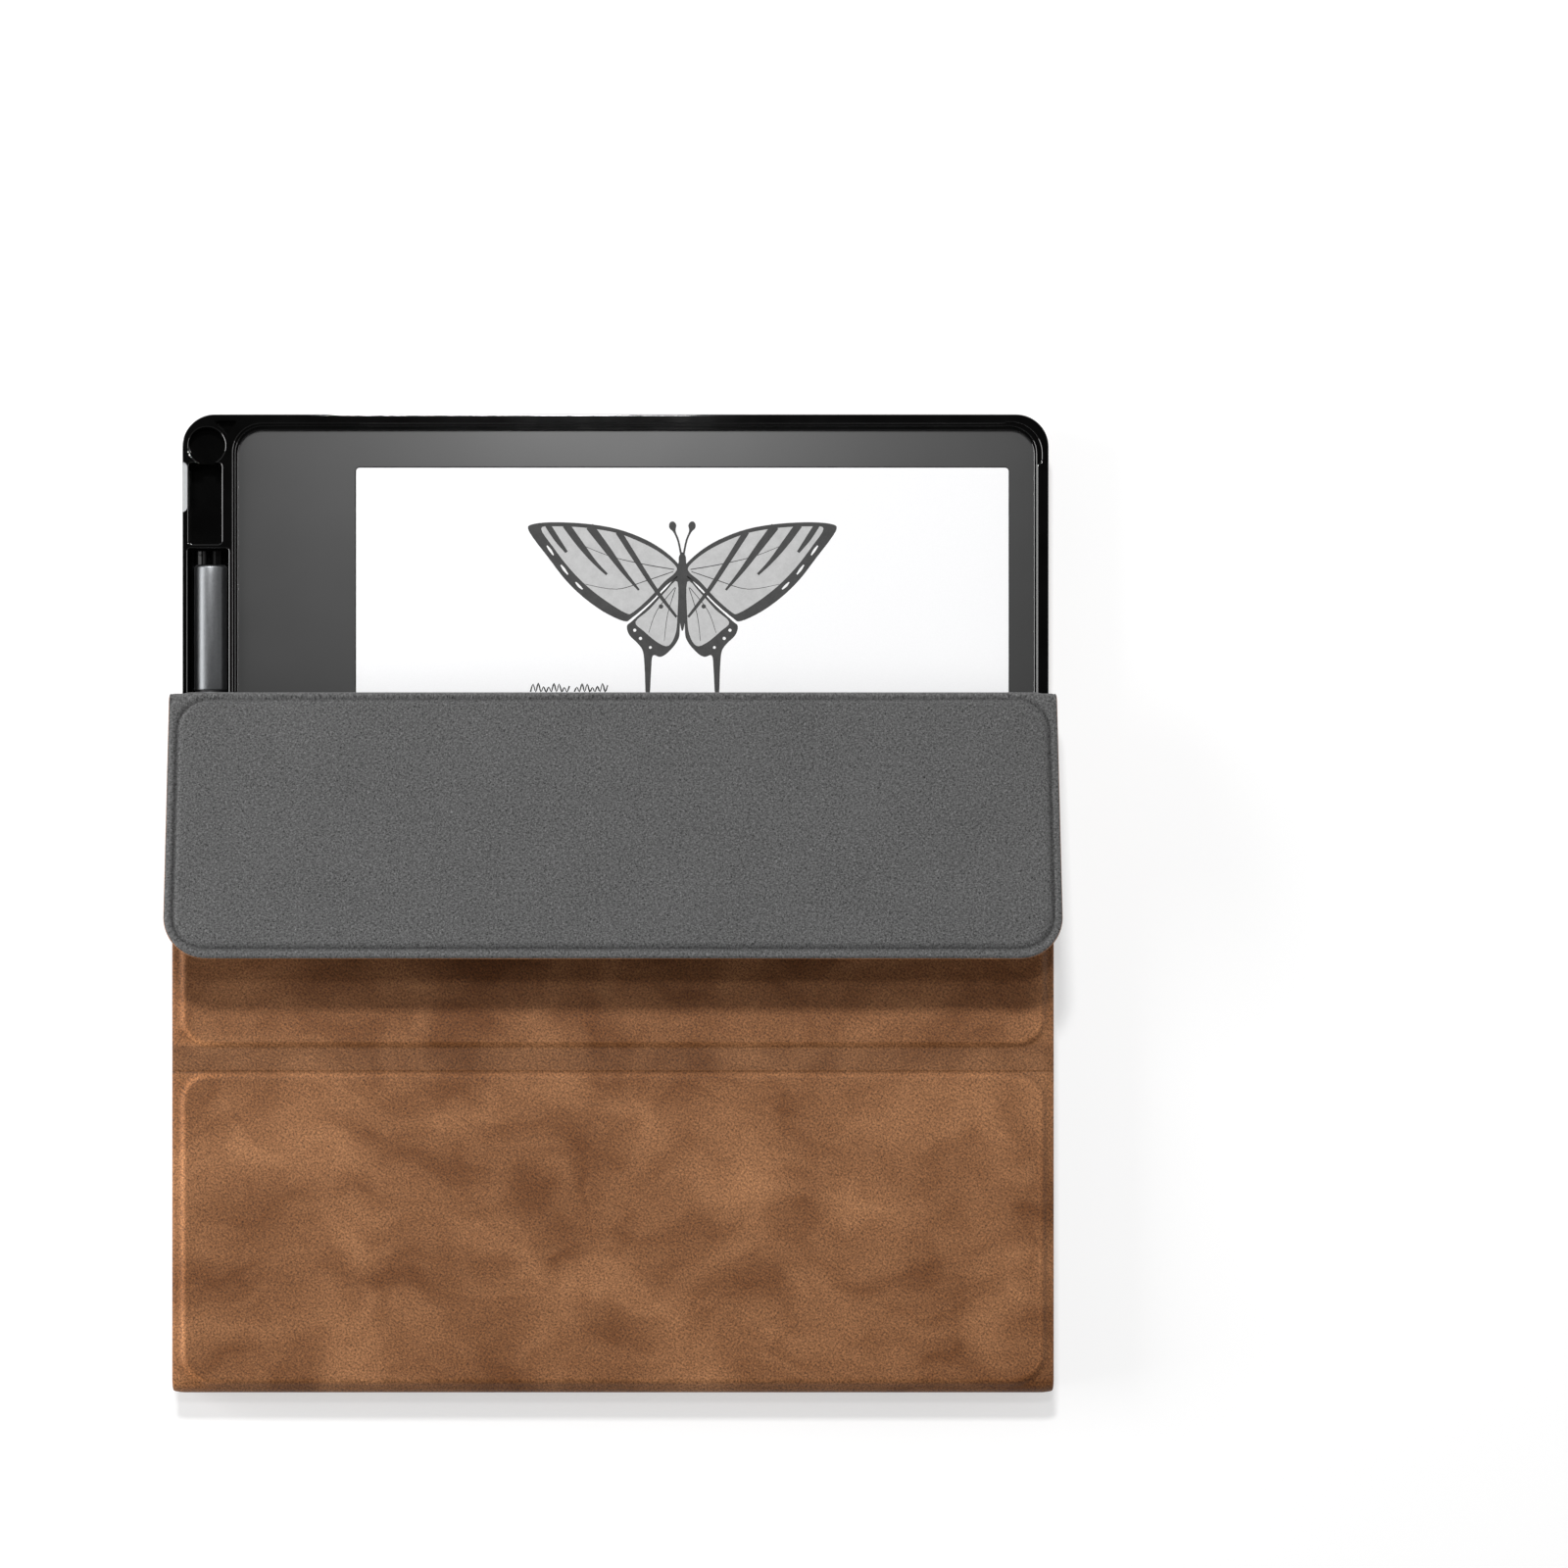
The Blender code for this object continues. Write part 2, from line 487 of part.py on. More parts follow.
def make_stylus():
    r = STYLUS_RADIUS
    cap_low = COLLAR_Y[1] + THIN_GAP
    cap = [(0, STYLUS_TOP), (r - 0.9 * MM, STYLUS_TOP), (r - 0.25 * MM, STYLUS_TOP - 0.3 * MM),
           (r, STYLUS_TOP - 1.0 * MM), (r, cap_low), (0, cap_low)]
    turned("stylus_eraser_cap", cap, PEN)
    turned("stylus_collar", [(0, COLLAR_Y[1]), (r - GAP, COLLAR_Y[1]), (r - GAP, COLLAR_Y[0]), (0, COLLAR_Y[0])], NIB)
    low, high = BARREL_Y
    cone = low + CONE_LENGTH
    bore = 0.95 * MM
    barrel = [(r, high), (r, cone), (r - 0.6 * MM, cone - 4 * MM), (bore + 0.7 * MM, low), (bore, low),
              (bore, low + 4 * MM), (BARREL_BORE - 1.2 * MM, cone - 4 * MM), (BARREL_BORE, cone), (BARREL_BORE, high)]
    turned("stylus_barrel", barrel, PEN, closed=True)
    nib_r = 0.75 * MM
    nib = [(0, low + 6 * MM), (nib_r, low + 6 * MM), (nib_r, STYLUS_TIP + 0.8 * MM),
           (nib_r * 0.7, STYLUS_TIP + 0.2 * MM), (0, STYLUS_TIP)]
    turned("stylus_nib", nib, NIB)
    coil_y = (cone + 4 * MM, cone + 19 * MM)
    rod("stylus_coil", STYLUS_X, coil_y, STYLUS_Z, 2.6 * MM, FLEX, axis="Y", steps=16)
    board_y = (coil_y[1] + 2 * MM, COLLAR_Y[0] - 6 * MM)
    box("stylus_board", spread(STYLUS_X, 5 * MM), board_y, spread(STYLUS_Z, 1 * MM), CIRCUIT)
    box("stylus_magnet", spread(STYLUS_X, 3 * MM), (8 * MM, 30 * MM), spread(STYLUS_Z + 1.3 * MM, 1.2 * MM), MAGNET)


# Cover --------------------------------------------------------------------------------------------------

SIDE_MARGIN = 2.8 * MM
CREASE_MARGIN = 1.1 * MM
FORMED_EDGE = 0.8 * MM
SLIT = 0.15 * MM
BOARD_HALF = 0.7 * MM
BOARD_RADIUS = 7 * MM
FREE_CORNER = 10.5 * MM


def panel(name, y, ends, corners, board_radii):
    """Leather, board and lining between two y values. Ends are how far the board keeps from each of them."""
    edges = (-COVER_RIGHT, COVER_RIGHT, *y)
    board_edges = (-COVER_RIGHT + SIDE_MARGIN, COVER_RIGHT - SIDE_MARGIN, y[0] + ends[0], y[1] - ends[1])
    made = [plate(f"{name}_board", rounded(board_edges, board_radii), spread(COVER_MIDDLE, 2 * BOARD_HALF), BOARD)]
    for skin, paint, side in (("leather", LEATHER, 1), ("lining", LINING, -1)):
        near = COVER_MIDDLE + side * THIN_GAP / 2
        flat = COVER_MIDDLE + side * STRIP_THICKNESS / 2
        raised = COVER_MIDDLE + side * PANEL_THICKNESS / 2
        inside = COVER_MIDDLE + side * (BOARD_HALF + THIN_GAP)
        sheet = plate(f"{name}_{skin}", rounded(edges, corners), tuple(sorted((near, flat))), paint)
        swell_z = tuple(sorted((near + side * 0.2 * MM, raised)))
        swell = plate(f"{name}_{skin}_swell", rounded(board_edges, board_radii, -FORMED_EDGE), swell_z)
        pocket_z = tuple(sorted((COVER_MIDDLE - side * MM, inside)))
        pocket = plate(f"{name}_{skin}_pocket", rounded(board_edges, board_radii, -0.2 * MM), pocket_z)
        made.append(cut(join(sheet, swell), pocket))
    return made


def strip(name, y):
    """The flexible stretch between two panels: leather on the lining, with no board."""
    x = (-COVER_RIGHT, COVER_RIGHT)
    inner = (y[0] + SLIT, y[1] - SLIT)
    return [
        box(f"{name}_leather", x, inner, (COVER_MIDDLE + THIN_GAP / 2, STRIP_TOP), LEATHER),
        box(f"{name}_lining", x, inner, (STRIP_BOTTOM, COVER_MIDDLE - THIN_GAP / 2), LINING),
    ]


def make_spine():
    """The case's back edge, upright at rest, with leather outside and lining inside."""
    corner = 2.4 * MM
    z = (corner, COVER_BOTTOM - GAP)
    x = (-COVER_RIGHT, COVER_RIGHT)
    board_x = (-COVER_RIGHT + SIDE_MARGIN, COVER_RIGHT - SIDE_MARGIN)
    leather_z = (GAP, COVER_TOP - GAP)
    board_y = (SPINE_OUT + SKIN + THIN_GAP, SPINE_IN - SKIN - THIN_GAP)
    return [
        box("spine_leather", x, (SPINE_OUT, SPINE_OUT + SKIN), leather_z, LEATHER),
        box("spine_board", board_x, board_y, z, BOARD),
        box("spine_lining", x, (SPINE_IN - SKIN, SPINE_IN), z, LINING),
    ]


def make_magnets():
    """Two magnets that hold the cover shut and one that wakes the screen, let into the last board."""
    made = []
    y = CASE_TOP - 12 * MM
    places = (("clasp_magnet_left", -60, 14), ("clasp_magnet_right", 60, 14), ("wake_magnet", 88, 6))
    board = bpy.data.objects["panel_3_board"]
    for name, x, long in places:
        span_x, span_y = spread(x * MM, long * MM), spread(y, 6 * MM)
        made.append(box(name, span_x, span_y, spread(COVER_MIDDLE, 1.2 * MM), MAGNET))
        hole_x, hole_y = spread(x * MM, long * MM + 2 * GAP), spread(y, 6 * MM + 2 * GAP)
        cut(board, box(f"{name}_hole", hole_x, hole_y, (0, ABOVE)))
    return made


def make_cover():
    """Spine, three panels and two fold strips on a chain of hinges, drawn flat and then folded at the last."""
    small = 1.5 * MM
    square = (small,) * 4
    round_board = (BOARD_RADIUS,) * 4
    spine_hinge = hinge("spine_hinge", SPINE_OUT, 0)
    hang(spine_hinge, *make_spine())
    cover_hinge = hinge("cover_hinge", SPINE_OUT, COVER_TOP, spine_hinge)
    panel_1_y = (SPINE_OUT + HINGE_CLEARANCE, PANEL_1_TOP - SLIT)
    spine_end = 4.0 * MM
    panel_1 = panel("panel_1", panel_1_y, (spine_end, CREASE_MARGIN), square, round_board)
    hang(cover_hinge, *panel_1)
    lower = hinge("fold_1_lower", PANEL_1_TOP, STRIP_TOP, cover_hinge)
    hang(lower, *strip("fold_strip_1", (PANEL_1_TOP, PANEL_2_BOTTOM)))
    upper = hinge("fold_1_upper", PANEL_2_BOTTOM, STRIP_TOP, lower)
    panel_2_y = (PANEL_2_BOTTOM + SLIT, PANEL_2_TOP - SLIT)
    hang(upper, *panel("panel_2", panel_2_y, (CREASE_MARGIN, CREASE_MARGIN), square, round_board))
    flap_lower = hinge("fold_2_lower", PANEL_2_TOP, STRIP_TOP, upper)
    hang(flap_lower, *strip("fold_strip_2", (PANEL_2_TOP, PANEL_3_BOTTOM)))
    flap_upper = hinge("fold_2_upper", PANEL_3_BOTTOM, STRIP_TOP, flap_lower)
    panel_3_y = (PANEL_3_BOTTOM + SLIT, CASE_TOP)
    free = (small, small, FREE_CORNER, FREE_CORNER)
    free_board = (BOARD_RADIUS, BOARD_RADIUS, FREE_CORNER - SIDE_MARGIN, FREE_CORNER - SIDE_MARGIN)
    hang(flap_upper, *panel("panel_3", panel_3_y, (CREASE_MARGIN, SIDE_MARGIN), free, free_board), *make_magnets())
    for fold in (flap_lower, flap_upper):
        fold.rotation_euler.x = math.radians((180 - FLAP_OPENING_DEG) / 2)


make_back()
make_tray()
make_housing()
make_mid_frame()
make_display()
make_electronics()
make_screws()
make_power_button()
make_stylus()
make_cover()
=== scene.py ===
"""Looks of the e-reader in its folding leather case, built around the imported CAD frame. Metres, +Z up."""
import collections
import json
import math

import bmesh
import bpy
import numpy as np
from mathutils import Matrix, Vector


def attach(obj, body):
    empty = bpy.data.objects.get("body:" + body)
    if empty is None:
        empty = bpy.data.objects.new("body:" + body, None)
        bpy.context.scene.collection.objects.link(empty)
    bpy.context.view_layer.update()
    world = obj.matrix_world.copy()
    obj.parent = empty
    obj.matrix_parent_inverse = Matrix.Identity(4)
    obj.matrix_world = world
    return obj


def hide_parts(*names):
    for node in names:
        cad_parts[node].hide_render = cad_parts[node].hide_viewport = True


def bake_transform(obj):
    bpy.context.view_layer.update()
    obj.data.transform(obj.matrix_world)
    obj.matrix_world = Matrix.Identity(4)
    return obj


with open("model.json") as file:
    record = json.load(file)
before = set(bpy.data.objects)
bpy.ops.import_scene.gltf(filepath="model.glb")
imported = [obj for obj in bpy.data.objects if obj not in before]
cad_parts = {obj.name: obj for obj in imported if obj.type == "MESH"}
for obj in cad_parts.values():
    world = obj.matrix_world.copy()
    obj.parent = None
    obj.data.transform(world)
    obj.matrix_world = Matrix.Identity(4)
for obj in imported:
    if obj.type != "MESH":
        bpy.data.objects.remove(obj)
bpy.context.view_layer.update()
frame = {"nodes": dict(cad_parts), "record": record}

MM = 0.001

# Lengths are in millimetres. The cover's developed length, s, runs down the back of the case, round the spine
# and over the panels, along the middle layer between leather and lining. On the first two panels it equals y.
COVER_MIDDLE = 13.9  # z of that layer over the screen
BACK_MIDDLE = 0.75  # its z in the back
SPINE_MIDDLE = -118.25  # its y in the spine
UPPER_BEND = 3.2  # radii of the bends above and below the spine
LOWER_BEND = 2.25
LOWER_BEND_Z = BACK_MIDDLE + LOWER_BEND
UPPER_BEND_Z = COVER_MIDDLE - UPPER_BEND
S_PANEL_1 = SPINE_MIDDLE + UPPER_BEND
S_SPINE_TOP = S_PANEL_1 - UPPER_BEND * math.pi / 2
S_SPINE_LOW = S_SPINE_TOP - (UPPER_BEND_Z - LOWER_BEND_Z)
S_BACK = S_SPINE_LOW - LOWER_BEND * math.pi / 2
BACK_TOP_Y = 118.7
S_BACK_END = S_BACK - (BACK_TOP_Y - SPINE_MIDDLE - LOWER_BEND)
PANELS = ("panel_1", "panel_2", "panel_3")
FOLD_1 = (-41.2, -34.5)  # s of the two hinges of each fold
FOLD_2 = (48.4, 54.5)
FOLD_EASE = 1.0  # how far the bend reaches beyond the hinges
HINGE_Z = 14.65
STRIP_FOLD = math.radians(83)
FREE_EDGE = 119.0
COVER_HALF = 107.0
BACK_SIDES = (-104.7, 106.2)
FREE_CORNER = 10.5


def smooth(t):
    """0 below 0, 1 above 1, and an eased step between them."""
    t = np.clip(t, 0, 1)
    return t * t * (3 - 2 * t)


def ridge(distance, width):
    """1 where the distance is 0, falling away on both sides."""
    return np.exp(-((distance / width) ** 2))


# The path of the cover's middle layer ----------------------------------------------------------------------

FOLD_R = 2.0  # radius of the two bends of the fold


def turn(y, z, angle):
    return y * math.cos(angle) - z * math.sin(angle), y * math.sin(angle) + z * math.cos(angle)


def flap_place(s):
    """Middle layer of the last panel, turned about both hinges of the fold."""
    hinge_y, hinge_z = turn(FOLD_2[1] - FOLD_2[0], 0, STRIP_FOLD)
    dy, dz = turn(s - FOLD_2[1], COVER_MIDDLE - HINGE_Z, 2 * STRIP_FOLD)
    return FOLD_2[0] + hinge_y + dy, HINGE_Z + hinge_z + dz


def fold_place(s):
    """Middle layer round the fold: a bend, a straight and a bend, from the second panel to the last."""
    start, stop = FOLD_2[0] - FOLD_EASE, FOLD_2[1] + FOLD_EASE
    end_y, end_z = flap_place(stop)
    chord = math.hypot(end_y - start, end_z - COVER_MIDDLE)
    straight = chord - 2 * FOLD_R * math.sin(STRIP_FOLD)
    bend = FOLD_R * STRIP_FOLD
    along = (s - start) / (stop - start) * (2 * bend + straight)
    y, z, heading = start, COVER_MIDDLE, 0.0
    for length, radius in ((bend, FOLD_R), (straight, None), (bend, FOLD_R)):
        step = min(along, length)
        if radius:
            y += radius * (math.sin(heading + step / radius) - math.sin(heading))
            z -= radius * (math.cos(heading + step / radius) - math.cos(heading))
            heading += step / radius
        else:
            y += step * math.cos(heading)
            z += step * math.sin(heading)
        along -= step
    return y, z, heading


def place(s):
    """(y, z, heading) of the middle layer at a developed length. The leather is on the heading's left."""
    low_y, high_y = SPINE_MIDDLE + LOWER_BEND, SPINE_MIDDLE + UPPER_BEND
    if s <= S_BACK:
        return low_y + (S_BACK - s), BACK_MIDDLE, math.pi
    if s < S_SPINE_LOW:
        angle = math.pi - (s - S_BACK) / LOWER_BEND
        return low_y - LOWER_BEND * math.sin(angle), LOWER_BEND_Z + LOWER_BEND * math.cos(angle), angle
    if s <= S_SPINE_TOP:
        return SPINE_MIDDLE, LOWER_BEND_Z + (s - S_SPINE_LOW), math.pi / 2
    if s < S_PANEL_1:
        angle = math.pi / 2 - (s - S_SPINE_TOP) / UPPER_BEND
        return high_y - UPPER_BEND * math.sin(angle), UPPER_BEND_Z + UPPER_BEND * math.cos(angle), angle
    if s <= FOLD_2[0] - FOLD_EASE:
        return s, COVER_MIDDLE, 0.0
    if s < FOLD_2[1] + FOLD_EASE:
        return fold_place(s)
    return *flap_place(s), 2 * STRIP_FOLD


# Heights above the middle layer ----------------------------------------------------------------------------

MARGIN = 0.75
# x from, x to, s from, s to, radius of the corners at low s, radius at high s
BOARDS = {
    "panel_1": (-104.4, 104.6, -116.2, FOLD_1[0] - 0.4, 7.4, 6.4),
    "panel_2": (-104.4, 104.6, FOLD_1[1] + 0.3, FOLD_2[0] - 1.0, 6.4, 6.4),
    "panel_3": (-104.3, 104.3, FOLD_2[1] + 1.0, FREE_EDGE - 2.9, 6.8, 7.6),
    "spine": (-104.2, 104.2, S_SPINE_LOW + 0.7, S_SPINE_TOP - 0.7, 0.8, 0.8),
}


def inside(x, s, board):
    """How far a point is inside a board's rounded outline, negative outside it."""
    x0, x1, s0, s1, low_radius, high_radius = BOARDS[board]
    radius = np.where(s > (s0 + s1) / 2, high_radius, low_radius)
    dx = np.abs(x - (x0 + x1) / 2) - ((x1 - x0) / 2 - radius)
    ds = np.abs(s - (s0 + s1) / 2) - ((s1 - s0) / 2 - radius)
    outer = np.hypot(np.maximum(dx, 0), np.maximum(ds, 0))
    return radius - outer - np.minimum(np.maximum(dx, ds), 0)


def in_fold(s, ease=0.4):
    """1 on the narrow strips between the panels, 0 elsewhere."""
    inside_strip = np.zeros_like(s)
    for low, high in (FOLD_1, FOLD_2):
        inside_strip += smooth((s - low) / ease + 0.5) * smooth((high - s) / ease + 0.5)
    return inside_strip


def side_edges_of(s):
    """x of the cover's two sides, which draw in from the spine to the back."""
    taper = smooth((S_SPINE_LOW - s) / (S_SPINE_LOW - S_BACK))
    left = -COVER_HALF + (BACK_SIDES[0] + COVER_HALF) * taper
    return left, COVER_HALF + (BACK_SIDES[1] - COVER_HALF) * taper


def to_side(x, s):
    left, right = side_edges_of(s)
    return np.minimum(x - left, right - x)


def leather_height(x, s):
    """Swells over the boards, thins towards the sides and sinks a little in the folds."""
    height = np.full_like(x, MARGIN)
    for board in PANELS:
        height += 0.75 * smooth((inside(x, s, board) + 0.95) / 1.8)
    height -= 0.3 * (1 - smooth(to_side(x, s) / 3.2)) ** 1.5 * (s > S_SPINE_LOW)
    height -= 0.16 * ridge(s - FOLD_1[0] - 0.45, 0.16)
    return height - 0.25 * smooth((s - FOLD_2[0] + 1) / 2) * smooth((FOLD_2[1] + 1 - s) / 2)


def lining_height(x, s):
    """Swells over the boards, with a groove round each and a low welt outside it."""
    height = np.full_like(x, MARGIN + 0.07)
    for board in PANELS:
        deep = inside(x, s, board)
        height += 0.7 * smooth((deep + 0.3) / 0.9) - 0.42 * ridge(deep + 0.6, 0.3)
        height += 0.3 * smooth((-deep - 0.2) / 1.2) * smooth((deep + 4) / 1)
    height += 1.35 * smooth((inside(x, s, "spine") + 0.3) / 0.6)
    height -= 0.25 * (1 - smooth(to_side(x, s) / 1.2))
    for crease in FOLD_1:
        height -= 0.2 * ridge(s - crease, 0.25)
    return -height


def leather_painted_light(x, s):
    """Painted light: a highlight on the ridges over the board edges, much stronger at the left, a paler left
    margin, and shade on the right edges, the right margin and in the folds.
    """
    # Painted shade darkens the strips in the folds
    tone = 1 - 0.2 * in_fold(s)
    left, right = smooth((-x - 90) / 12), smooth((x - 90) / 12)
    nearest = np.full_like(x, -99.0)
    for board in PANELS:
        deep = inside(x, s, board)
        nearest = np.maximum(nearest, deep)
        # Painted highlight on the ridge over each board's edge, much stronger at the left
        tone += (0.09 * (1 - right) + 0.62 * left) * ridge(deep - 0.1, 0.5)
        # Painted shade on each board's right-facing slope, with a painted highlight just inside it
        tone += right * (0.15 * ridge(deep - 1.0, 0.6) - 0.25 * ridge(deep + 0.1, 0.45))
    # Painted highlight on the left margin and painted shade on the right one
    margin = smooth(-nearest / 0.8) * smooth((s - S_SPINE_TOP) / 2) * (1 - in_fold(s))
    return tone + margin * (0.2 * left - 0.06 * right)


def lining_painted_light(x, s):
    """Painted shade in the groove round each board and a painted highlight on the welt beside it."""
    tone = np.ones_like(x)
    for board in PANELS:
        deep = inside(x, s, board)
        # Painted highlight on the welt, painted shade in the groove
        tone += 0.12 * ridge(deep + 1.4, 0.5) - 0.36 * ridge(deep + 0.5, 0.42)
    return tone


# Edge profiles: (inset from the edge, height above the middle layer), from the skin's end to its flat face
LEATHER_EDGE = (
    (1.3, -0.50), (0.7, -0.63), (0.36, -0.68), (0.17, -0.655), (0.05, -0.53), (0.0, -0.32), (0.0, -0.1),
    (0.02, 0.06), (0.09, 0.22), (0.22, 0.34), (0.4, 0.42), (0.6, 0.455),
)
LINING_EDGE = ((0.13, -0.52), (0.13, -0.64), (0.19, -0.73), (0.32, -0.78), (0.5, -0.79))


def linked(name, points, faces, paint=None):
    """A mesh object in the scene."""
    mesh = bpy.data.meshes.new(name)
    mesh.from_pydata(points, [], faces)
    if paint:
        mesh.materials.append(paint)
    obj = bpy.data.objects.new(name, mesh)
    bpy.context.scene.collection.objects.link(obj)
    return obj


def measured(edge):
    """The length along an edge profile at each of its points."""
    steps = [0.0]
    for (a, b), (c, d) in zip(edge, edge[1:]):
        steps.append(steps[-1] + math.hypot(c - a, d - b))
    return steps


def edge_lines(edge, fine=0.5, reach=12.0, coarse=4.5):
    """Depths from an edge, measured over the surface from where the skin ends to the middle of the sheet."""
    steps = measured(edge)
    flat = steps[-1]
    inset = edge[-1][0]
    count = round((reach - inset) / fine)
    steps += [flat + (reach - inset) * (i + 1) / count for i in range(count)]
    count = round((COVER_HALF - reach) / coarse)
    steps += [flat + (reach - inset) + (COVER_HALF - reach) * (i + 1) / count for i in range(count)]
    return steps, flat


def edge_shape(edge, depth, flat):
    """(inset, inset along the surface, height or NaN on the flat face) at a depth."""
    unrolled = edge[-1][0] + depth - flat
    if depth >= flat - 1e-9:
        return unrolled, unrolled, math.nan
    inset, height = (float(np.interp(depth, measured(edge), part)) for part in zip(*edge))
    return inset, unrolled, height


def skin(body, kind, rows, free=None, radius=FREE_CORNER, deepen=None):
    """A closed sheet over developed lengths `rows`. free is "high" or "low" where that end is an edge."""
    layer = LAYERS[kind]
    steps, flat = edge_lines(layer.edge)
    shapes = [edge_shape(layer.edge, depth, flat) for depth in steps]
    columns = [(-1, depth, shape) for depth, shape in zip(steps, shapes)]
    columns += [(1, depth, shape) for depth, shape in list(zip(steps, shapes))[-2::-1]]
    limit = flat + radius - layer.edge[-1][0]
    end, sign = (rows[-1], 1) if free == "high" else (rows[0], -1)
    ends = [(s, None, None) for s in rows]
    if free:
        near = [(end - sign * shape[0], depth, shape) for depth, shape in zip(steps, shapes)]
        near = [entry for entry in near if entry[2][1] <= radius + 1.0]
        rest = [entry for entry in ends if sign * (end - entry[0]) > radius + 1.4]
        ends = rest + near[::-1] if free == "high" else near + rest
    x = np.zeros((len(ends), len(columns)))
    s_at, u, v, h = x.copy(), x.copy(), x.copy(), x.copy()
    for i, (s, end_depth, end_shape) in enumerate(ends):
        left, right = side_edges_of(s)
        stretch = (right - left) / 2 / COVER_HALF
        for j, (side, depth, (inset, unrolled, fixed)) in enumerate(columns):
            border = right if side > 0 else left
            px, pu = border - side * inset * stretch, border - side * unrolled * stretch
            ps, pv = s, s
            if end_shape:
                ps, pv = end - sign * end_shape[0], end - sign * end_shape[1]
                if depth < limit and end_depth < limit:
                    # A square grid of depths, bent round the free end's corner
                    cx, cs = limit - depth, limit - end_depth
                    angle = math.pi / 4 * cs / cx if cx >= cs else math.pi / 2 - math.pi / 4 * cx / cs
                    inset, unrolled, fixed = edge_shape(layer.edge, limit - max(cx, cs), flat)
                    corner_x, corner_s = border - side * radius, end - sign * radius
                    px = corner_x + side * (radius - inset) * math.cos(angle)
                    pu = corner_x + side * (radius - unrolled) * math.cos(angle)
                    ps = corner_s + sign * (radius - inset) * math.sin(angle)
                    pv = corner_s + sign * (radius - unrolled) * math.sin(angle)
                elif end_depth < limit:
                    fixed = end_shape[2]
            x[i, j], s_at[i, j], u[i, j], v[i, j], h[i, j] = px, ps, pu, pv, fixed
    h = np.where(np.isnan(h), layer.height(x, s_at), h)
    if deepen:
        h = np.where(h < 0, h * deepen(s_at), h)
    points = np.zeros((*x.shape, 3))
    for at in np.ndindex(x.shape):
        y, z, heading = place(s_at[at])
        points[at] = (x[at], y - math.sin(heading) * h[at], z + math.cos(heading) * h[at])
    uvs = np.stack([u, v], -1) * MM
    return sheet_object(f"{body}_{kind}_skin", points * MM, uvs, layer.tone(x, s_at), layer)


def sheet_object(name, points, uvs, painted_light, layer):
    """Closes a grid of points into a sheet of the layer's thickness, with its outer face on the points."""
    rows, cols, _ = points.shape
    down = np.gradient(points, axis=0)
    across = np.gradient(points, axis=1)
    normal = np.cross(across, down)
    normal /= np.maximum(np.linalg.norm(normal, axis=-1, keepdims=True), 1e-12)
    if layer.under:
        normal = -normal
    inner = points - normal * (layer.thickness * MM)
    count = rows * cols
    faces = []
    for i in range(rows - 1):
        for j in range(cols - 1):
            start = i * cols + j
            quad = (start, start + 1, start + cols + 1, start + cols)
            quad = quad[::-1] if layer.under else quad
            faces += [quad, tuple(count + k for k in quad[::-1])]
    rim = list(range(cols)) + [i * cols + cols - 1 for i in range(1, rows)]
    rim += [(rows - 1) * cols + j for j in range(cols - 2, -1, -1)]
    rim += [i * cols for i in range(rows - 2, 0, -1)]
    for a, b in zip(rim, rim[1:] + rim[:1]):
        quad = (b, a, count + a, count + b)
        faces.append(quad[::-1] if layer.under else quad)
    vertices = np.concatenate([points.reshape(-1, 3), inner.reshape(-1, 3)])
    obj = linked(name, vertices.tolist(), faces, layer.paint)
    mesh = obj.data
    uv_map = mesh.uv_layers.new(name="Sheet")
    index = np.zeros(len(mesh.loops), np.int32)
    mesh.loops.foreach_get("vertex_index", index)
    both_faces = np.concatenate([uvs.reshape(-1, 2)] * 2)
    uv_map.data.foreach_set("uv", both_faces[index].astype(np.float32).ravel())
    # The sheets hold their painted light and shade here for the materials
    tones = mesh.attributes.new("PaintedLight", "FLOAT", "POINT")
    tones.data.foreach_set("value", np.concatenate([painted_light.ravel()] * 2).astype(np.float32))
    mesh.shade_smooth()
    mesh.set_sharp_from_angle(angle=math.radians(50))
    return obj


# Materials -------------------------------------------------------------------------------------------------


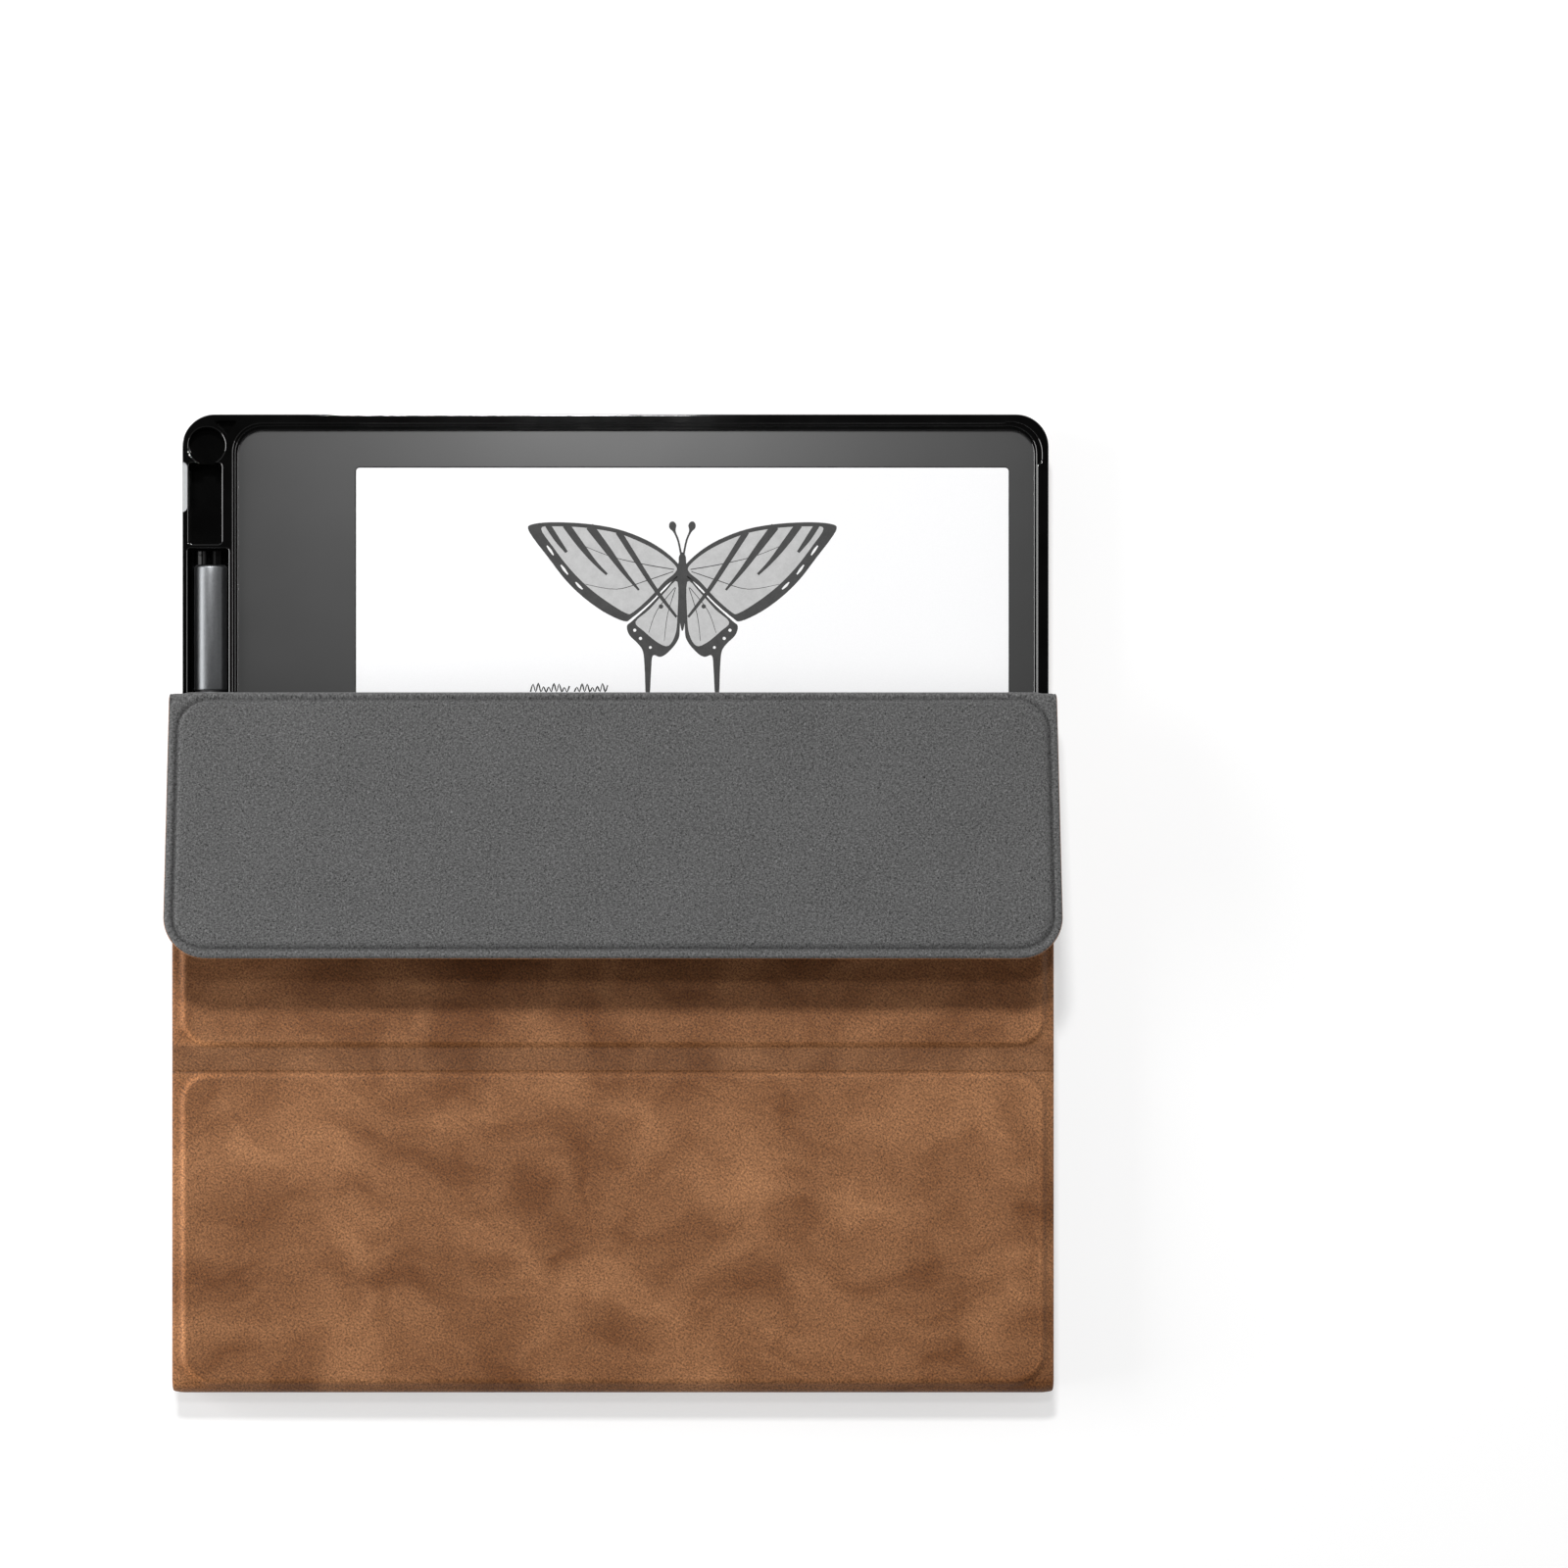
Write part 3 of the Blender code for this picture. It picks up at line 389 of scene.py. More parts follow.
class Nodes:
    """A node tree, with short calls that each add a node and give its output."""

    def __init__(self, tree):
        self.tree = tree

    def set(self, node, inputs):
        for key, value in inputs.items():
            socket = node.inputs[key] if isinstance(key, int) else node.inputs[key.replace("_", " ")]
            if isinstance(value, bpy.types.NodeSocket):
                self.tree.links.new(value, socket)
            else:
                socket.default_value = value

    def add(self, kind, inputs=None, out=0, **props):
        node = self.tree.nodes.new("ShaderNode" + kind)
        for key, value in props.items():
            setattr(node, key, value)
        self.set(node, inputs or {})
        return node.outputs[out]

    def sheet(self):
        return self.add("UVMap", uv_map="Sheet")

    def here(self):
        return self.add("TexCoord", out=3)

    def scaled(self, vector, scale, rotation=0.0, offset=(0, 0, 0)):
        scale = scale if isinstance(scale, tuple) else (scale,) * 3
        values = {"Vector": vector, "Scale": scale, "Rotation": (0, 0, rotation), "Location": offset}
        return self.add("Mapping", values)

    def noise(self, vector, scale, detail=2.0, rough=0.5, distortion=0.0):
        values = {"Vector": vector, "Scale": scale, "Detail": detail, "Roughness": rough}
        return self.add("TexNoise", {**values, "Distortion": distortion})

    def ranged(self, value, low, high, to_low=0.0, to_high=1.0, kind="SMOOTHSTEP"):
        values = {0: value, 1: low, 2: high, 3: to_low, 4: to_high}
        return self.add("MapRange", values, interpolation_type=kind)

    def varied(self, noise, low, high):
        """The values from low to high that a noise, which seldom leaves 0.3 to 0.7, spreads over."""
        return self.ranged(noise, 0.3, 0.7, low, high, "LINEAR")

    def math(self, operation, a, b=0.5):
        return self.add("Math", {0: a, 1: b}, operation=operation)

    def mix(self, factor, a, b, blend="MIX"):
        a, b = (part if isinstance(part, bpy.types.NodeSocket) else (*part, 1) for part in (a, b))
        return self.add("Mix", {0: factor, 6: a, 7: b}, out=2, data_type="RGBA", blend_type=blend)

    def grey(self, value):
        return self.add("CombineColor", {0: value, 1: value, 2: value})

    def toned(self, colour, value):
        """The colour multiplied by a value."""
        return self.mix(1.0, colour, self.grey(value), "MULTIPLY")

    def painted_light(self):
        """The painted light and shade that the sheets hold at each point."""
        return self.math("MAXIMUM", self.add("Attribute", out=2, attribute_name="PaintedLight"), 0.5)

    def bump(self, height, strength, distance, normal=None):
        values = {"Height": height, "Strength": strength, "Distance": distance}
        if normal is not None:
            values["Normal"] = normal
        return self.add("Bump", values)


class Paint(Nodes):
    """A material, from its plain shader values to its links."""

    def __init__(self, name, **values):
        self.material = bpy.data.materials.new(name)
        self.material.use_nodes = True
        super().__init__(self.material.node_tree)
        self.shader = self.tree.nodes["Principled BSDF"]
        self.set(self.shader, values)

    def finish(self, **links):
        self.set(self.shader, links)
        return self.material


def leather():
    """Distressed brown leather: pale rubbed clouds and darker ones over a fine grain."""
    p = Paint("leather", Roughness=0.6, Specular_IOR_Level=0.28)
    uv = p.sheet()
    push = p.add("TexNoise", {"Vector": uv, "Scale": 24, "Detail": 3}, out=1)
    push = p.add("VectorMath", {0: push, 1: (0.5, 0.5, 0.5)}, operation="SUBTRACT")
    push = p.add("VectorMath", {0: push, "Scale": 0.05}, operation="SCALE")
    bent = p.add("VectorMath", {0: uv, 1: push}, operation="ADD")
    broad = p.noise(bent, 38, 3, 0.5)
    streaks = p.noise(p.scaled(bent, (38, 90, 1), math.radians(-38)), 1, 3, 0.55)
    patch = p.noise(p.scaled(uv, 1, 0, (0.37, 0.11, 0)), 14, 2, 0.5)
    clouds = p.math("ADD", p.math("MULTIPLY", broad, 0.5), p.math("MULTIPLY", streaks, 0.32))
    clouds = p.math("ADD", clouds, p.math("MULTIPLY", patch, 0.18))
    clouds = p.ranged(clouds, 0.395, 0.645, kind="LINEAR")
    mottle = p.noise(p.scaled(uv, (700, 700, 1), 0.9), 1, 3, 0.6)
    grain = p.noise(p.scaled(uv, (2050, 2050, 1), 0.6), 1, 3, 0.65)
    # The leather colour is multiplied by the painted light and shade that the sheets hold
    colour = p.toned(p.mix(clouds, (0.150, 0.055, 0.0165), (0.345, 0.158, 0.067)), p.painted_light())
    colour = p.toned(colour, p.math("MULTIPLY", p.varied(grain, 0.25, 1.75), p.varied(mottle, 0.92, 1.08)))
    pores = p.add("TexVoronoi", {"Vector": uv, "Scale": 1500}, feature="DISTANCE_TO_EDGE")
    pores = p.math("MULTIPLY", p.ranged(pores, 0.0, 0.25), 0.3)
    height = p.math("ADD", p.math("MULTIPLY", grain, 0.7), pores)
    normal = p.bump(height, 0.55, 0.00012, p.bump(p.noise(uv, 60, 3, 0.5), 0.25, 0.0006))
    return p.finish(Base_Color=colour, Roughness=p.varied(grain, 0.56, 0.72), Normal=normal)


def microfibre():
    """Brushed grey lining: pale and dark fibres tangled over a mid grey."""
    p = Paint("microfibre", Roughness=0.95, Specular_IOR_Level=0.2, Sheen_Weight=0.12, Sheen_Roughness=0.6)
    uv = p.sheet()
    fleck = p.noise(p.scaled(uv, (2500, 1900, 1), 0.5), 1, 2, 0.7, 0.5)
    cross = p.noise(p.scaled(uv, (1650, 3100, 1), -0.7), 1, 2, 0.7, 0.5)
    soft = p.noise(uv, 55, 3, 0.5)
    pile = p.ranged(fleck, 0.25, 0.75, -0.068, 0.068, "LINEAR")
    pile = p.math("ADD", pile, p.ranged(cross, 0.25, 0.75, -0.060, 0.060, "LINEAR"))
    pile = p.math("ADD", pile, p.varied(soft, 0.090, 0.098))
    pile = p.math("ADD", pile, p.math("MULTIPLY", p.ranged(fleck, 0.66, 0.74), 0.06))
    # The pile is multiplied by the painted shade and highlight that the sheets hold
    colour = p.grey(p.math("MULTIPLY", pile, p.painted_light()))
    return p.finish(Base_Color=colour, Normal=p.bump(p.math("ADD", fleck, cross), 0.5, 0.00012))


def gloss_black():
    """Polished black moulding under a clear lacquer, with faint wipe marks in the base."""
    p = Paint("black_moulding", Roughness=0.045, IOR=1.6, Coat_Weight=1.0, Coat_Roughness=0.03, Coat_IOR=1.7)
    wipe = p.noise(p.here(), 90, 4, 0.6)
    return p.finish(Base_Color=p.grey(p.varied(wipe, 0.0018, 0.0034)), Roughness=p.varied(wipe, 0.035, 0.055))


def bezel():
    """Etched dark grey glass border with a very fine sparkle."""
    p = Paint("bezel_glass", Roughness=0.24, Specular_IOR_Level=0.3)
    here = p.here()
    colour = p.grey(p.varied(p.noise(here, 5200, 2, 0.7), 0.042, 0.050))
    return p.finish(Base_Color=colour, Roughness=p.varied(p.noise(here, 40, 3), 0.225, 0.255))


def paper():
    """Matte white e-paper."""
    p = Paint("e_paper", Roughness=0.75, Specular_IOR_Level=0.25)
    here = p.here()
    value = p.varied(p.noise(here, 3000, 2, 0.6), 0.90, 0.925)
    colour = p.add("CombineColor", {0: value, 1: value, 2: p.math("MULTIPLY", value, 1.008)})
    return p.finish(Base_Color=colour, Normal=p.bump(p.noise(here, 1800, 2), 0.05, 0.00002))


def ink(name, tone, spread):
    """Printed tone of the e-paper, slightly mottled like a pencil wash."""
    p = Paint(name, Roughness=0.75, Specular_IOR_Level=0.2)
    here = p.here()
    wash = p.math("MULTIPLY", p.noise(here, 420, 4, 0.7), 0.7)
    wash = p.math("ADD", wash, p.math("MULTIPLY", p.noise(here, 2600, 2), 0.3))
    return p.finish(Base_Color=p.grey(p.varied(wash, tone - spread, tone + spread)))


def metal(name, colour, rough, metallic=1.0, grain=900, stretch=(1, 1, 1), bump=0.04, drawn=0.0):
    """Bead-blasted metal, or metal drawn along Y, whose highlights spread round it."""
    p = Paint(name, Roughness=rough, Metallic=metallic, Anisotropic=drawn)
    wear = p.noise(p.scaled(p.here(), tuple(grain * s for s in stretch)), 1, 3, 0.6)
    colour = p.toned(colour, p.varied(wear, 0.93, 1.07))
    spread = p.varied(wear, rough - 0.05, rough + 0.05)
    ends = {"Tangent": p.add("Tangent", direction_type="RADIAL", axis="Y")} if drawn else {}
    return p.finish(Base_Color=colour, Roughness=spread, Normal=p.bump(wear, bump, 0.00003), **ends)


def plain(name, colour, rough, grain=700, change=0.12, bump=0.1, specular=0.5):
    """A moulded, printed or pressed surface with a mottle and a fine texture."""
    p = Paint(name, Roughness=rough, Specular_IOR_Level=specular)
    fine = p.noise(p.here(), grain, 4, 0.6)
    colour = p.toned(colour, p.varied(fine, 1 - change, 1 + change))
    spread = p.varied(fine, rough - 0.06, rough + 0.06)
    return p.finish(Base_Color=colour, Roughness=spread, Normal=p.bump(fine, bump, 0.00005))


def circuit():
    """Green solder mask with copper tracks under it."""
    p = Paint("circuit_board", Roughness=0.4)
    black, white = (0, 0, 0, 1), (1, 1, 1, 1)
    values = {"Scale": 1.0, "Mortar Size": 0.05, "Color1": black, "Color2": black, "Mortar": white}
    tracks = p.ranged(p.add("TexBrick", {"Vector": p.scaled(p.here(), 260), **values}), 0.2, 0.8)
    colour = p.mix(tracks, (0.012, 0.075, 0.035), (0.05, 0.19, 0.08))
    return p.finish(Base_Color=colour, Normal=p.bump(tracks, 0.2, 0.00003))


LEATHER = leather()
LINING = microfibre()
TRAY = gloss_black()
BEZEL = bezel()
PAPER = paper()
INK_DARK = ink("ink_dark", 0.062, 0.012)
INK_GREY = ink("ink_grey", 0.50, 0.055)
INK_PALE = ink("ink_pale", 0.82, 0.02)
INK_BLACK = ink("ink_black", 0.02, 0.004)
# Grey painted on the thumb notch's slope of the black moulding, standing in for the reflection on it
NOTCH_PAINTED_REFLECTION = plain("notch_painted_reflection", (0.33, 0.335, 0.34), 0.5, 1500, 0.08)
PEN = metal("anodised_grey", (0.23, 0.237, 0.245), 0.38, 1.0, 2600, (1, 0.7, 1), 0.05, 0.6)
NIB = plain("nib_plastic", (0.02, 0.02, 0.021), 0.45)
SLOT_PAINTS = {
    "leather": LEATHER, "microfibre": LINING, "black_moulding": TRAY, "bezel_glass": BEZEL, "e_paper": PAPER,
    "anodised_grey": PEN, "nib_plastic": NIB,
    "grey_board": plain("grey_board", (0.30, 0.28, 0.25), 0.9, 900, 0.2, 0.3, 0.2),
    "aluminium": metal("aluminium", (0.12, 0.12, 0.125), 0.38, 0.9),
    "light_guide": plain("light_guide", (0.75, 0.77, 0.77), 0.15, 300, 0.02, 0.0),
    "circuit_board": circuit(),
    "steel": metal("steel", (0.50, 0.50, 0.50), 0.28, 1.0, 400, (1, 6, 1)),
    "amber_flex": plain("amber_flex", (0.45, 0.19, 0.03), 0.35, 600, 0.08, 0.05),
    "battery_pouch": metal("battery_pouch", (0.14, 0.14, 0.15), 0.42, 0.6, 120),
    "rubber": plain("rubber", (0.02, 0.02, 0.02), 0.8, 900, 0.15, 0.3, 0.3),
    "magnet": metal("magnet", (0.55, 0.55, 0.57), 0.25, 1.0),
}
slots = {entry["node"]: entry["material_slot"] for entry in frame["record"]["subparts"]}
for name, node in frame["nodes"].items():
    node.data.materials.clear()
    node.data.materials.append(SLOT_PAINTS[slots[name]])


# Cover -----------------------------------------------------------------------------------------------------


Layer = collections.namedtuple("Layer", "slot edge height tone thickness paint under")
LAYERS = {
    "leather": Layer("leather", LEATHER_EDGE, leather_height, leather_painted_light, 0.42, LEATHER, False),
    "lining": Layer("microfibre", LINING_EDGE, lining_height, lining_painted_light, 0.2, LINING, True),
}


def even(start, stop, step, fewest=2):
    """Values from start to stop, about a step apart."""
    count = max(fewest, round((stop - start) / step))
    return [start + (stop - start) * i / count for i in range(count + 1)]


def with_corners(start, stop, fine=0.5, reach=9.0, coarse=5.5):
    """Developed lengths that are close together near both ends, where a board's corners are rounded."""
    low, high, count = start + reach, stop - reach, round(reach / fine)
    first = [start + reach * i / count for i in range(count)]
    return first + even(low, high, coarse, 1) + [high + reach * (i + 1) / count for i in range(count)]


def point(s):
    """A point of the middle layer, in metres."""
    y, z, _ = place(s)
    return 0, y * MM, z * MM


BEND_STEP = 0.3
FOLD_STEP = 0.16
BEND_REACH = 1.43  # how far the bends of the second fold reach between its hinges
middle_1, middle_2 = sum(FOLD_1) / 2, sum(FOLD_2) / 2
panels = (
    ("panel_1", with_corners(S_PANEL_1, FOLD_1[0] - FOLD_EASE), None),
    ("panel_2", with_corners(FOLD_1[1] + FOLD_EASE, FOLD_2[0] - FOLD_EASE), None),
    ("panel_3", with_corners(FOLD_2[1] + FOLD_EASE, FREE_EDGE), "high"),
    ("spine", even(S_SPINE_LOW, S_SPINE_TOP, 0.6, 1), None),
)
# Piece, its s from and to, its two bodies, and the s at each end of the span between them
bends = (
    (
        "fold_1_low",
        (FOLD_1[0] - FOLD_EASE, middle_1),
        ("panel_1", "fold_strip_1"),
        (FOLD_1[0] - 1, FOLD_1[0] + 1),
    ),
    (
        "fold_1_high",
        (middle_1, FOLD_1[1] + FOLD_EASE),
        ("fold_strip_1", "panel_2"),
        (FOLD_1[1] - 1, FOLD_1[1] + 1),
    ),
    (
        "fold_2_low",
        (FOLD_2[0] - FOLD_EASE, middle_2),
        ("panel_2", "fold_strip_2"),
        (FOLD_2[0] - 1, FOLD_2[0] + BEND_REACH),
    ),
    (
        "fold_2_high",
        (middle_2, FOLD_2[1] + FOLD_EASE),
        ("fold_strip_2", "panel_3"),
        (FOLD_2[1] - BEND_REACH, FOLD_2[1] + 1),
    ),
    ("spine_bend", (S_SPINE_TOP, S_PANEL_1), ("spine", "panel_1"), (S_SPINE_TOP + 0.1, S_PANEL_1 - 0.1)),
)
for kind in LAYERS:
    for body, rows, free in panels:
        piece = skin(body, kind, rows, free)
        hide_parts(f"{body}_{kind}")
        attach(piece, body)
    for name, (low, high), (first, second), (start, stop) in bends:
        in_a_fold = name.startswith("fold")
        piece = skin(name, kind, even(low, high, FOLD_STEP if in_a_fold else BEND_STEP))
        if in_a_fold:
            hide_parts(f"fold_strip_{name[5]}_{kind}")
        point(start)
        point(stop)
        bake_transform(piece)


def deepen(s):
    """The back's edge hangs lower than the panels' does."""
    return 1 + 1.05 * smooth((S_BACK - s) / 3)


back = skin("back", "leather", with_corners(S_BACK_END, S_BACK), "low", 7.6, deepen)
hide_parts("back_leather")
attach(back, "case_back")
for kind in LAYERS:
    piece = skin("back_bend", kind, even(S_BACK, S_SPINE_LOW, BEND_STEP))
    point(S_BACK + 0.1)
    point(S_SPINE_LOW - 0.1)
    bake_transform(piece)


# Moulded and flat pieces -----------------------------------------------------------------------------------


def arc(cx, cy, radius, start, stop, steps=8):
    """Points along an arc, from one angle in degrees to another."""
    angles = [math.radians(start + (stop - start) * i / steps) for i in range(steps + 1)]
    return [(cx + radius * math.cos(angle), cy + radius * math.sin(angle)) for angle in angles]


def rounded(edges, radii, inset=0.0, chord=0.7):
    """Outline of a rounded rectangle, drawn inwards by inset. Radii run anticlockwise from lower left."""
    x0, x1, y0, y1 = edges[0] + inset, edges[1] - inset, edges[2] + inset, edges[3] - inset
    radii = radii if isinstance(radii, tuple) else (radii,) * 4
    corners = ((x0, y0, 1, 1, 180), (x1, y0, -1, 1, 270), (x1, y1, -1, -1, 0), (x0, y1, 1, -1, 90))
    points = []
    for (x, y, to_x, to_y, start), full in zip(corners, radii):
        radius = max(full - inset, 0.05)
        steps = max(3, round(full * math.pi / 2 / chord))
        points += arc(x + to_x * radius, y + to_y * radius, radius, start, start + 90, steps)
    return points


def circle(x, y, radius, steps):
    return arc(x, y, radius, 0, 360, steps)[:-1]


def loft(name, edges, radii, profile, paint=None, chord=0.7):
    """A rounded rectangle carried through (inset, z) steps from the bottom up, in millimetres."""
    loops = [rounded(edges, radii, inset, chord) for inset, _ in profile]
    count = len(loops[0])
    points = [(x * MM, y * MM, z * MM) for loop, (_, z) in zip(loops, profile) for x, y in loop]
    faces = [tuple(range(count))[::-1], tuple(range(count * (len(loops) - 1), count * len(loops)))]
    for level in range(len(loops) - 1):
        faces += walls(level * count, count)
    return linked(name, points, faces, paint)


def walls(base, count):
    """Faces between a loop of points and the next loop."""
    after = [(i + 1) % count for i in range(count)]
    return [(base + i, base + j, base + count + j, base + count + i) for i, j in enumerate(after)]


def prism(name, outlines, z, paint=None):
    """Flat outlines in millimetres, anticlockwise, given thickness between two z values."""
    points, faces = [], []
    for outline in outlines:
        base, count = len(points), len(outline)
        points += [(x * MM, y * MM, level * MM) for level in z for x, y in outline]
        faces += [tuple(range(base, base + count))[::-1], tuple(range(base + count, base + 2 * count))]
        faces += walls(base, count)
    return linked(name, points, faces, paint)


LIFT = 40  # z where cutters end, above the case


def quarter(steps):
    """Angles through a quarter turn."""
    return [math.pi / 2 * i / steps for i in range(steps + 1)]


def opening(edges, radii, bottom, top, lip=0.25, chord=0.7):
    """A cutter from bottom to top that leaves a rounded lip of that radius."""
    flare = [(-lip * (1 - math.cos(angle)), top - lip + lip * math.sin(angle)) for angle in quarter(4)]
    return loft("cut", edges, radii, [(0, bottom), *flare, (-lip - 0.001, LIFT)], chord=chord)


def apply(obj):
    """Replaces the object's mesh with its evaluated one and clears the modifiers."""
    bpy.context.view_layer.update()
    graph = bpy.context.evaluated_depsgraph_get()
    mesh = bpy.data.meshes.new_from_object(obj.evaluated_get(graph))
    obj.modifiers.clear()
    obj.data = mesh
    return obj


def carve(obj, *cutters):
    """Cuts the cutters out of the object and removes them."""
    for cutter in cutters:
        step = obj.modifiers.new("cut", "BOOLEAN")
        step.object = cutter
        step.operation = "DIFFERENCE"
    apply(obj)
    for cutter in cutters:
        bpy.data.objects.remove(cutter, do_unlink=True)
    return obj


def finish_surface(obj, angle=32):
    """Smooth shading that keeps sharp edges sharp and flat faces flat."""
    work = bmesh.new()
    work.from_mesh(obj.data)
    bmesh.ops.remove_doubles(work, verts=work.verts, dist=2e-6)
    bmesh.ops.dissolve_limit(work, angle_limit=math.radians(0.5), verts=work.verts, edges=work.edges)
    bmesh.ops.triangulate(work, faces=[face for face in work.faces if len(face.verts) > 4])
    work.to_mesh(obj.data)
    work.free()
    mesh = obj.data
    mesh.shade_smooth()
    around = [[] for _ in mesh.vertices]
    for face in mesh.polygons:
        for vertex in face.vertices:
            flat = max(abs(part) for part in face.normal) > 0.9998
            around[vertex].append((face.normal.copy(), face.area, flat))
    limit = math.cos(math.radians(angle))
    normals = []
    for face in mesh.polygons:
        for vertex in face.vertices:
            near = [item for item in around[vertex] if item[0].dot(face.normal) > limit]
            near = [item for item in near if item[2]] or near
            total = sum((normal * area for normal, area, _ in near), Vector())
            normals.append(total.normalized() if total.length else face.normal)
    mesh.normals_split_custom_set(normals)
    return obj


# Tray: the well, its stepped rim, the stylus trough, the port bay and the corner pockets. Edges are x from and
# to, then y from and to.
RIM_TOP = 12.0
RIM = 0.3
LEDGE = 11.5  # the rim's outer step
WINDOW_TOP = 10.95  # the lip that holds the e-reader's border
DEVICE = (-92.0, 104.0, -113.9, 115.8)
DEVICE_RADIUS = 6.5
outside = [(0.3, 2.15), (0.0, 2.45)]
outside += [(RIM * (1 - math.cos(angle)), RIM_TOP - RIM + RIM * math.sin(angle)) for angle in quarter(6)]
tray = loft("tray_moulding", (-104.8, 106.0, -115.8, 119.0), (5, 5, 8, 8), outside)
well = loft("cut", DEVICE, DEVICE_RADIUS, [(-0.3, 3.5), (-0.3, 10.15)])
window = opening((-91.3, 102.5, -113.2, 115.2), 5.9, 4.5, WINDOW_TOP, 0.22)
step_low = opening((-91.85, 103.0, -113.7, 116.1), 6.5, WINDOW_TOP, LEDGE, 0.22)
step_high = opening((-92.45, 103.15, -114.3, 116.7), 7.0, LEDGE, RIM_TOP, 0.3)
corner_step = opening((95.0, 104.3, 106.6, 117.1), (1.0, 1.6, 7.6, 1.0), LEDGE, RIM_TOP)
carve(tray, well, window, step_low, step_high, corner_step)

trough = opening((-103.5, -93.5, -84.0, 86.4), 0.6, 7.75, RIM_TOP, 0.35)
bpy.ops.mesh.primitive_cylinder_add(
    vertices=96,
    radius=4.75 * MM,
    depth=170 * MM,
    location=(-98.75 * MM, 1 * MM, 7.75 * MM),
    rotation=(math.pi / 2, 0, 0),
)
trough_round = bpy.context.object
bay = opening((-103.3, -95.15, 87.4, 107.2), 0.8, 3.5, RIM_TOP, 0.3)
passage = loft("cut", (-96.3, -91.0, 88.0, 106.3), 0.5, [(0, 4.0), (0, 9.75)])
ring = opening((-103.3, -94.3, 106.9, 115.9), 4.5, 8.5, RIM_TOP, 0.3, chord=0.35)
triangle = prism("cut", [[(-96.6, 117.3), (-93.9, 114.3), (-91.8, 117.3)]], (9.6, RIM_TOP))
triangle_middle = Vector((-94.1 * MM, 116.4 * MM, 0))
for vertex in triangle.data.vertices:
    if vertex.co.z > 11 * MM:
        vertex.co = triangle_middle + (vertex.co - triangle_middle) * 1.22
        vertex.co.z = (RIM_TOP + 0.05) * MM
carve(tray, trough, trough_round, bay, passage, ring, triangle)

# The thumb notch: a scoop that slopes down to the side wall, and the cable's window under it
SCOOP_RIGHT = -103.65
SCOOP_SLOPE = 0.5
scoop = opening((-106.6, SCOOP_RIGHT, 95.3, 107.3), 1.3, 10.6, RIM_TOP, 0.15, chord=0.3)
for vertex in scoop.data.vertices:
    if vertex.co.z < 10.7 * MM:
        vertex.co.z = (11.75 + SCOOP_SLOPE * (vertex.co.x / MM - SCOOP_RIGHT)) * MM
for obj in (tray, scoop):
    obj.data.materials.clear()
    obj.data.materials.append(TRAY)
    obj.data.materials.append(NOTCH_PAINTED_REFLECTION)
# The scoop's faces take the grey painted reflection instead of the black moulding
for face in scoop.data.polygons:
    face.material_index = 1
port = loft("cut", (-106.0, -103.0, 96.2, 105.8), 0.9, [(0, 4.05), (0, 9.65)])
carve(tray, scoop, port)
finish_surface(tray)
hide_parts("tray")
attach(tray, "case_back")

# Bezel glass with the screen let into it
SCREEN = (-62.7, 96.5, -103.7, 106.3)
outer_edge = [(0.35, 9.5), (0.35, 9.85), (0.4, 9.95), (0.5, 10.0)]
screen_edge = [(-0.12, 9), (-0.12, 9.93), (-0.16, 9.99), (-0.22, 10.01), (-0.22, 11)]
bezel_piece = loft("bezel_border", DEVICE, DEVICE_RADIUS, outer_edge, BEZEL)
carve(bezel_piece, loft("cut", SCREEN, 1.1, screen_edge, chord=0.25))
finish_surface(bezel_piece)
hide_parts("cover_glass")
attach(bezel_piece, "case_back")
screen = prism("screen_sheet", [rounded(SCREEN, 1.0, 0.1, 0.25)], (9.6, 9.93), PAPER)
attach(screen, "case_back")
surround = prism("screen_surround", [rounded(SCREEN, 1.0, -0.8)], (9.48, 9.72), INK_BLACK)
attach(surround, "case_back")


# Drawing on the screen -------------------------------------------------------------------------------------

# A butterfly's right half, in millimetres from the middle of its body. Pen lines are (x, y, width).
DRAWING_PLACE = (16.9, 76.0)
FOREWING = [
    (0.6, 6.2), (4, 9.6), (9, 12.7), (16, 15.3), (24, 16.6), (32, 16.9), (36.6, 16.4), (37.6, 15.4),
    (36.2, 12.9), (32.6, 8.2), (28.6, 3.0), (24.2, -1.3), (19.2, -4.9), (14.2, -7.2), (12.3, -6.4),
    (7.8, -2.6), (4.0, 1.4), (0.8, 4.0),
]
FORE_WASH = [
    (1.6, 6.2), (5, 9.2), (9.6, 11.8), (16, 14.3), (24, 15.6), (31.5, 15.9), (34.4, 15.3), (31.6, 11.0),
    (27.6, 5.8), (23.2, 1.3), (18.4, -2.4), (13.8, -5.2), (12.0, -5.0), (7.9, -1.4), (4.4, 2.4),
    (1.8, 4.6),
]
HINDWING = [
    (0.7, 3.4), (4.0, 0.8), (8.0, -3.3), (12.3, -7.2), (13.5, -8.4), (12.9, -10.6), (10.9, -12.6),
    (9.6, -14.6), (9.2, -18.6), (8.9, -25.2), (8.0, -25.3), (7.6, -19.0), (7.2, -15.6), (5.4, -15.9),
    (3.6, -14.9), (1.2, -12.0), (0.6, -8.6),
]
HIND_WASH = [
    (1.2, 2.4), (4.2, -0.1), (8.0, -4.3), (11.4, -7.4), (9.4, -9.6), (6.0, -12.4), (3.4, -13.2),
    (1.7, -10.4), (1.2, -6.0),
]
FORE_STRIPES = [
    [(15.6, 14.6, 1.5), (11.4, 8.0, 1.3), (6.6, 0.6, 1.0), (1.4, -6.2, 0.6)],
    [(22.6, 15.9, 2.0), (18.4, 10.4, 1.7), (14.4, 5.0, 1.1), (10.6, 0.4, 0.5)],
    [(28.4, 16.3, 1.8), (24.8, 11.4, 1.6), (21.4, 7.2, 1.0), (18.4, 4.2, 0.6)],
    [(32.8, 16.2, 1.4), (30.6, 12.8, 1.3), (28.2, 9.6, 0.7)],
]
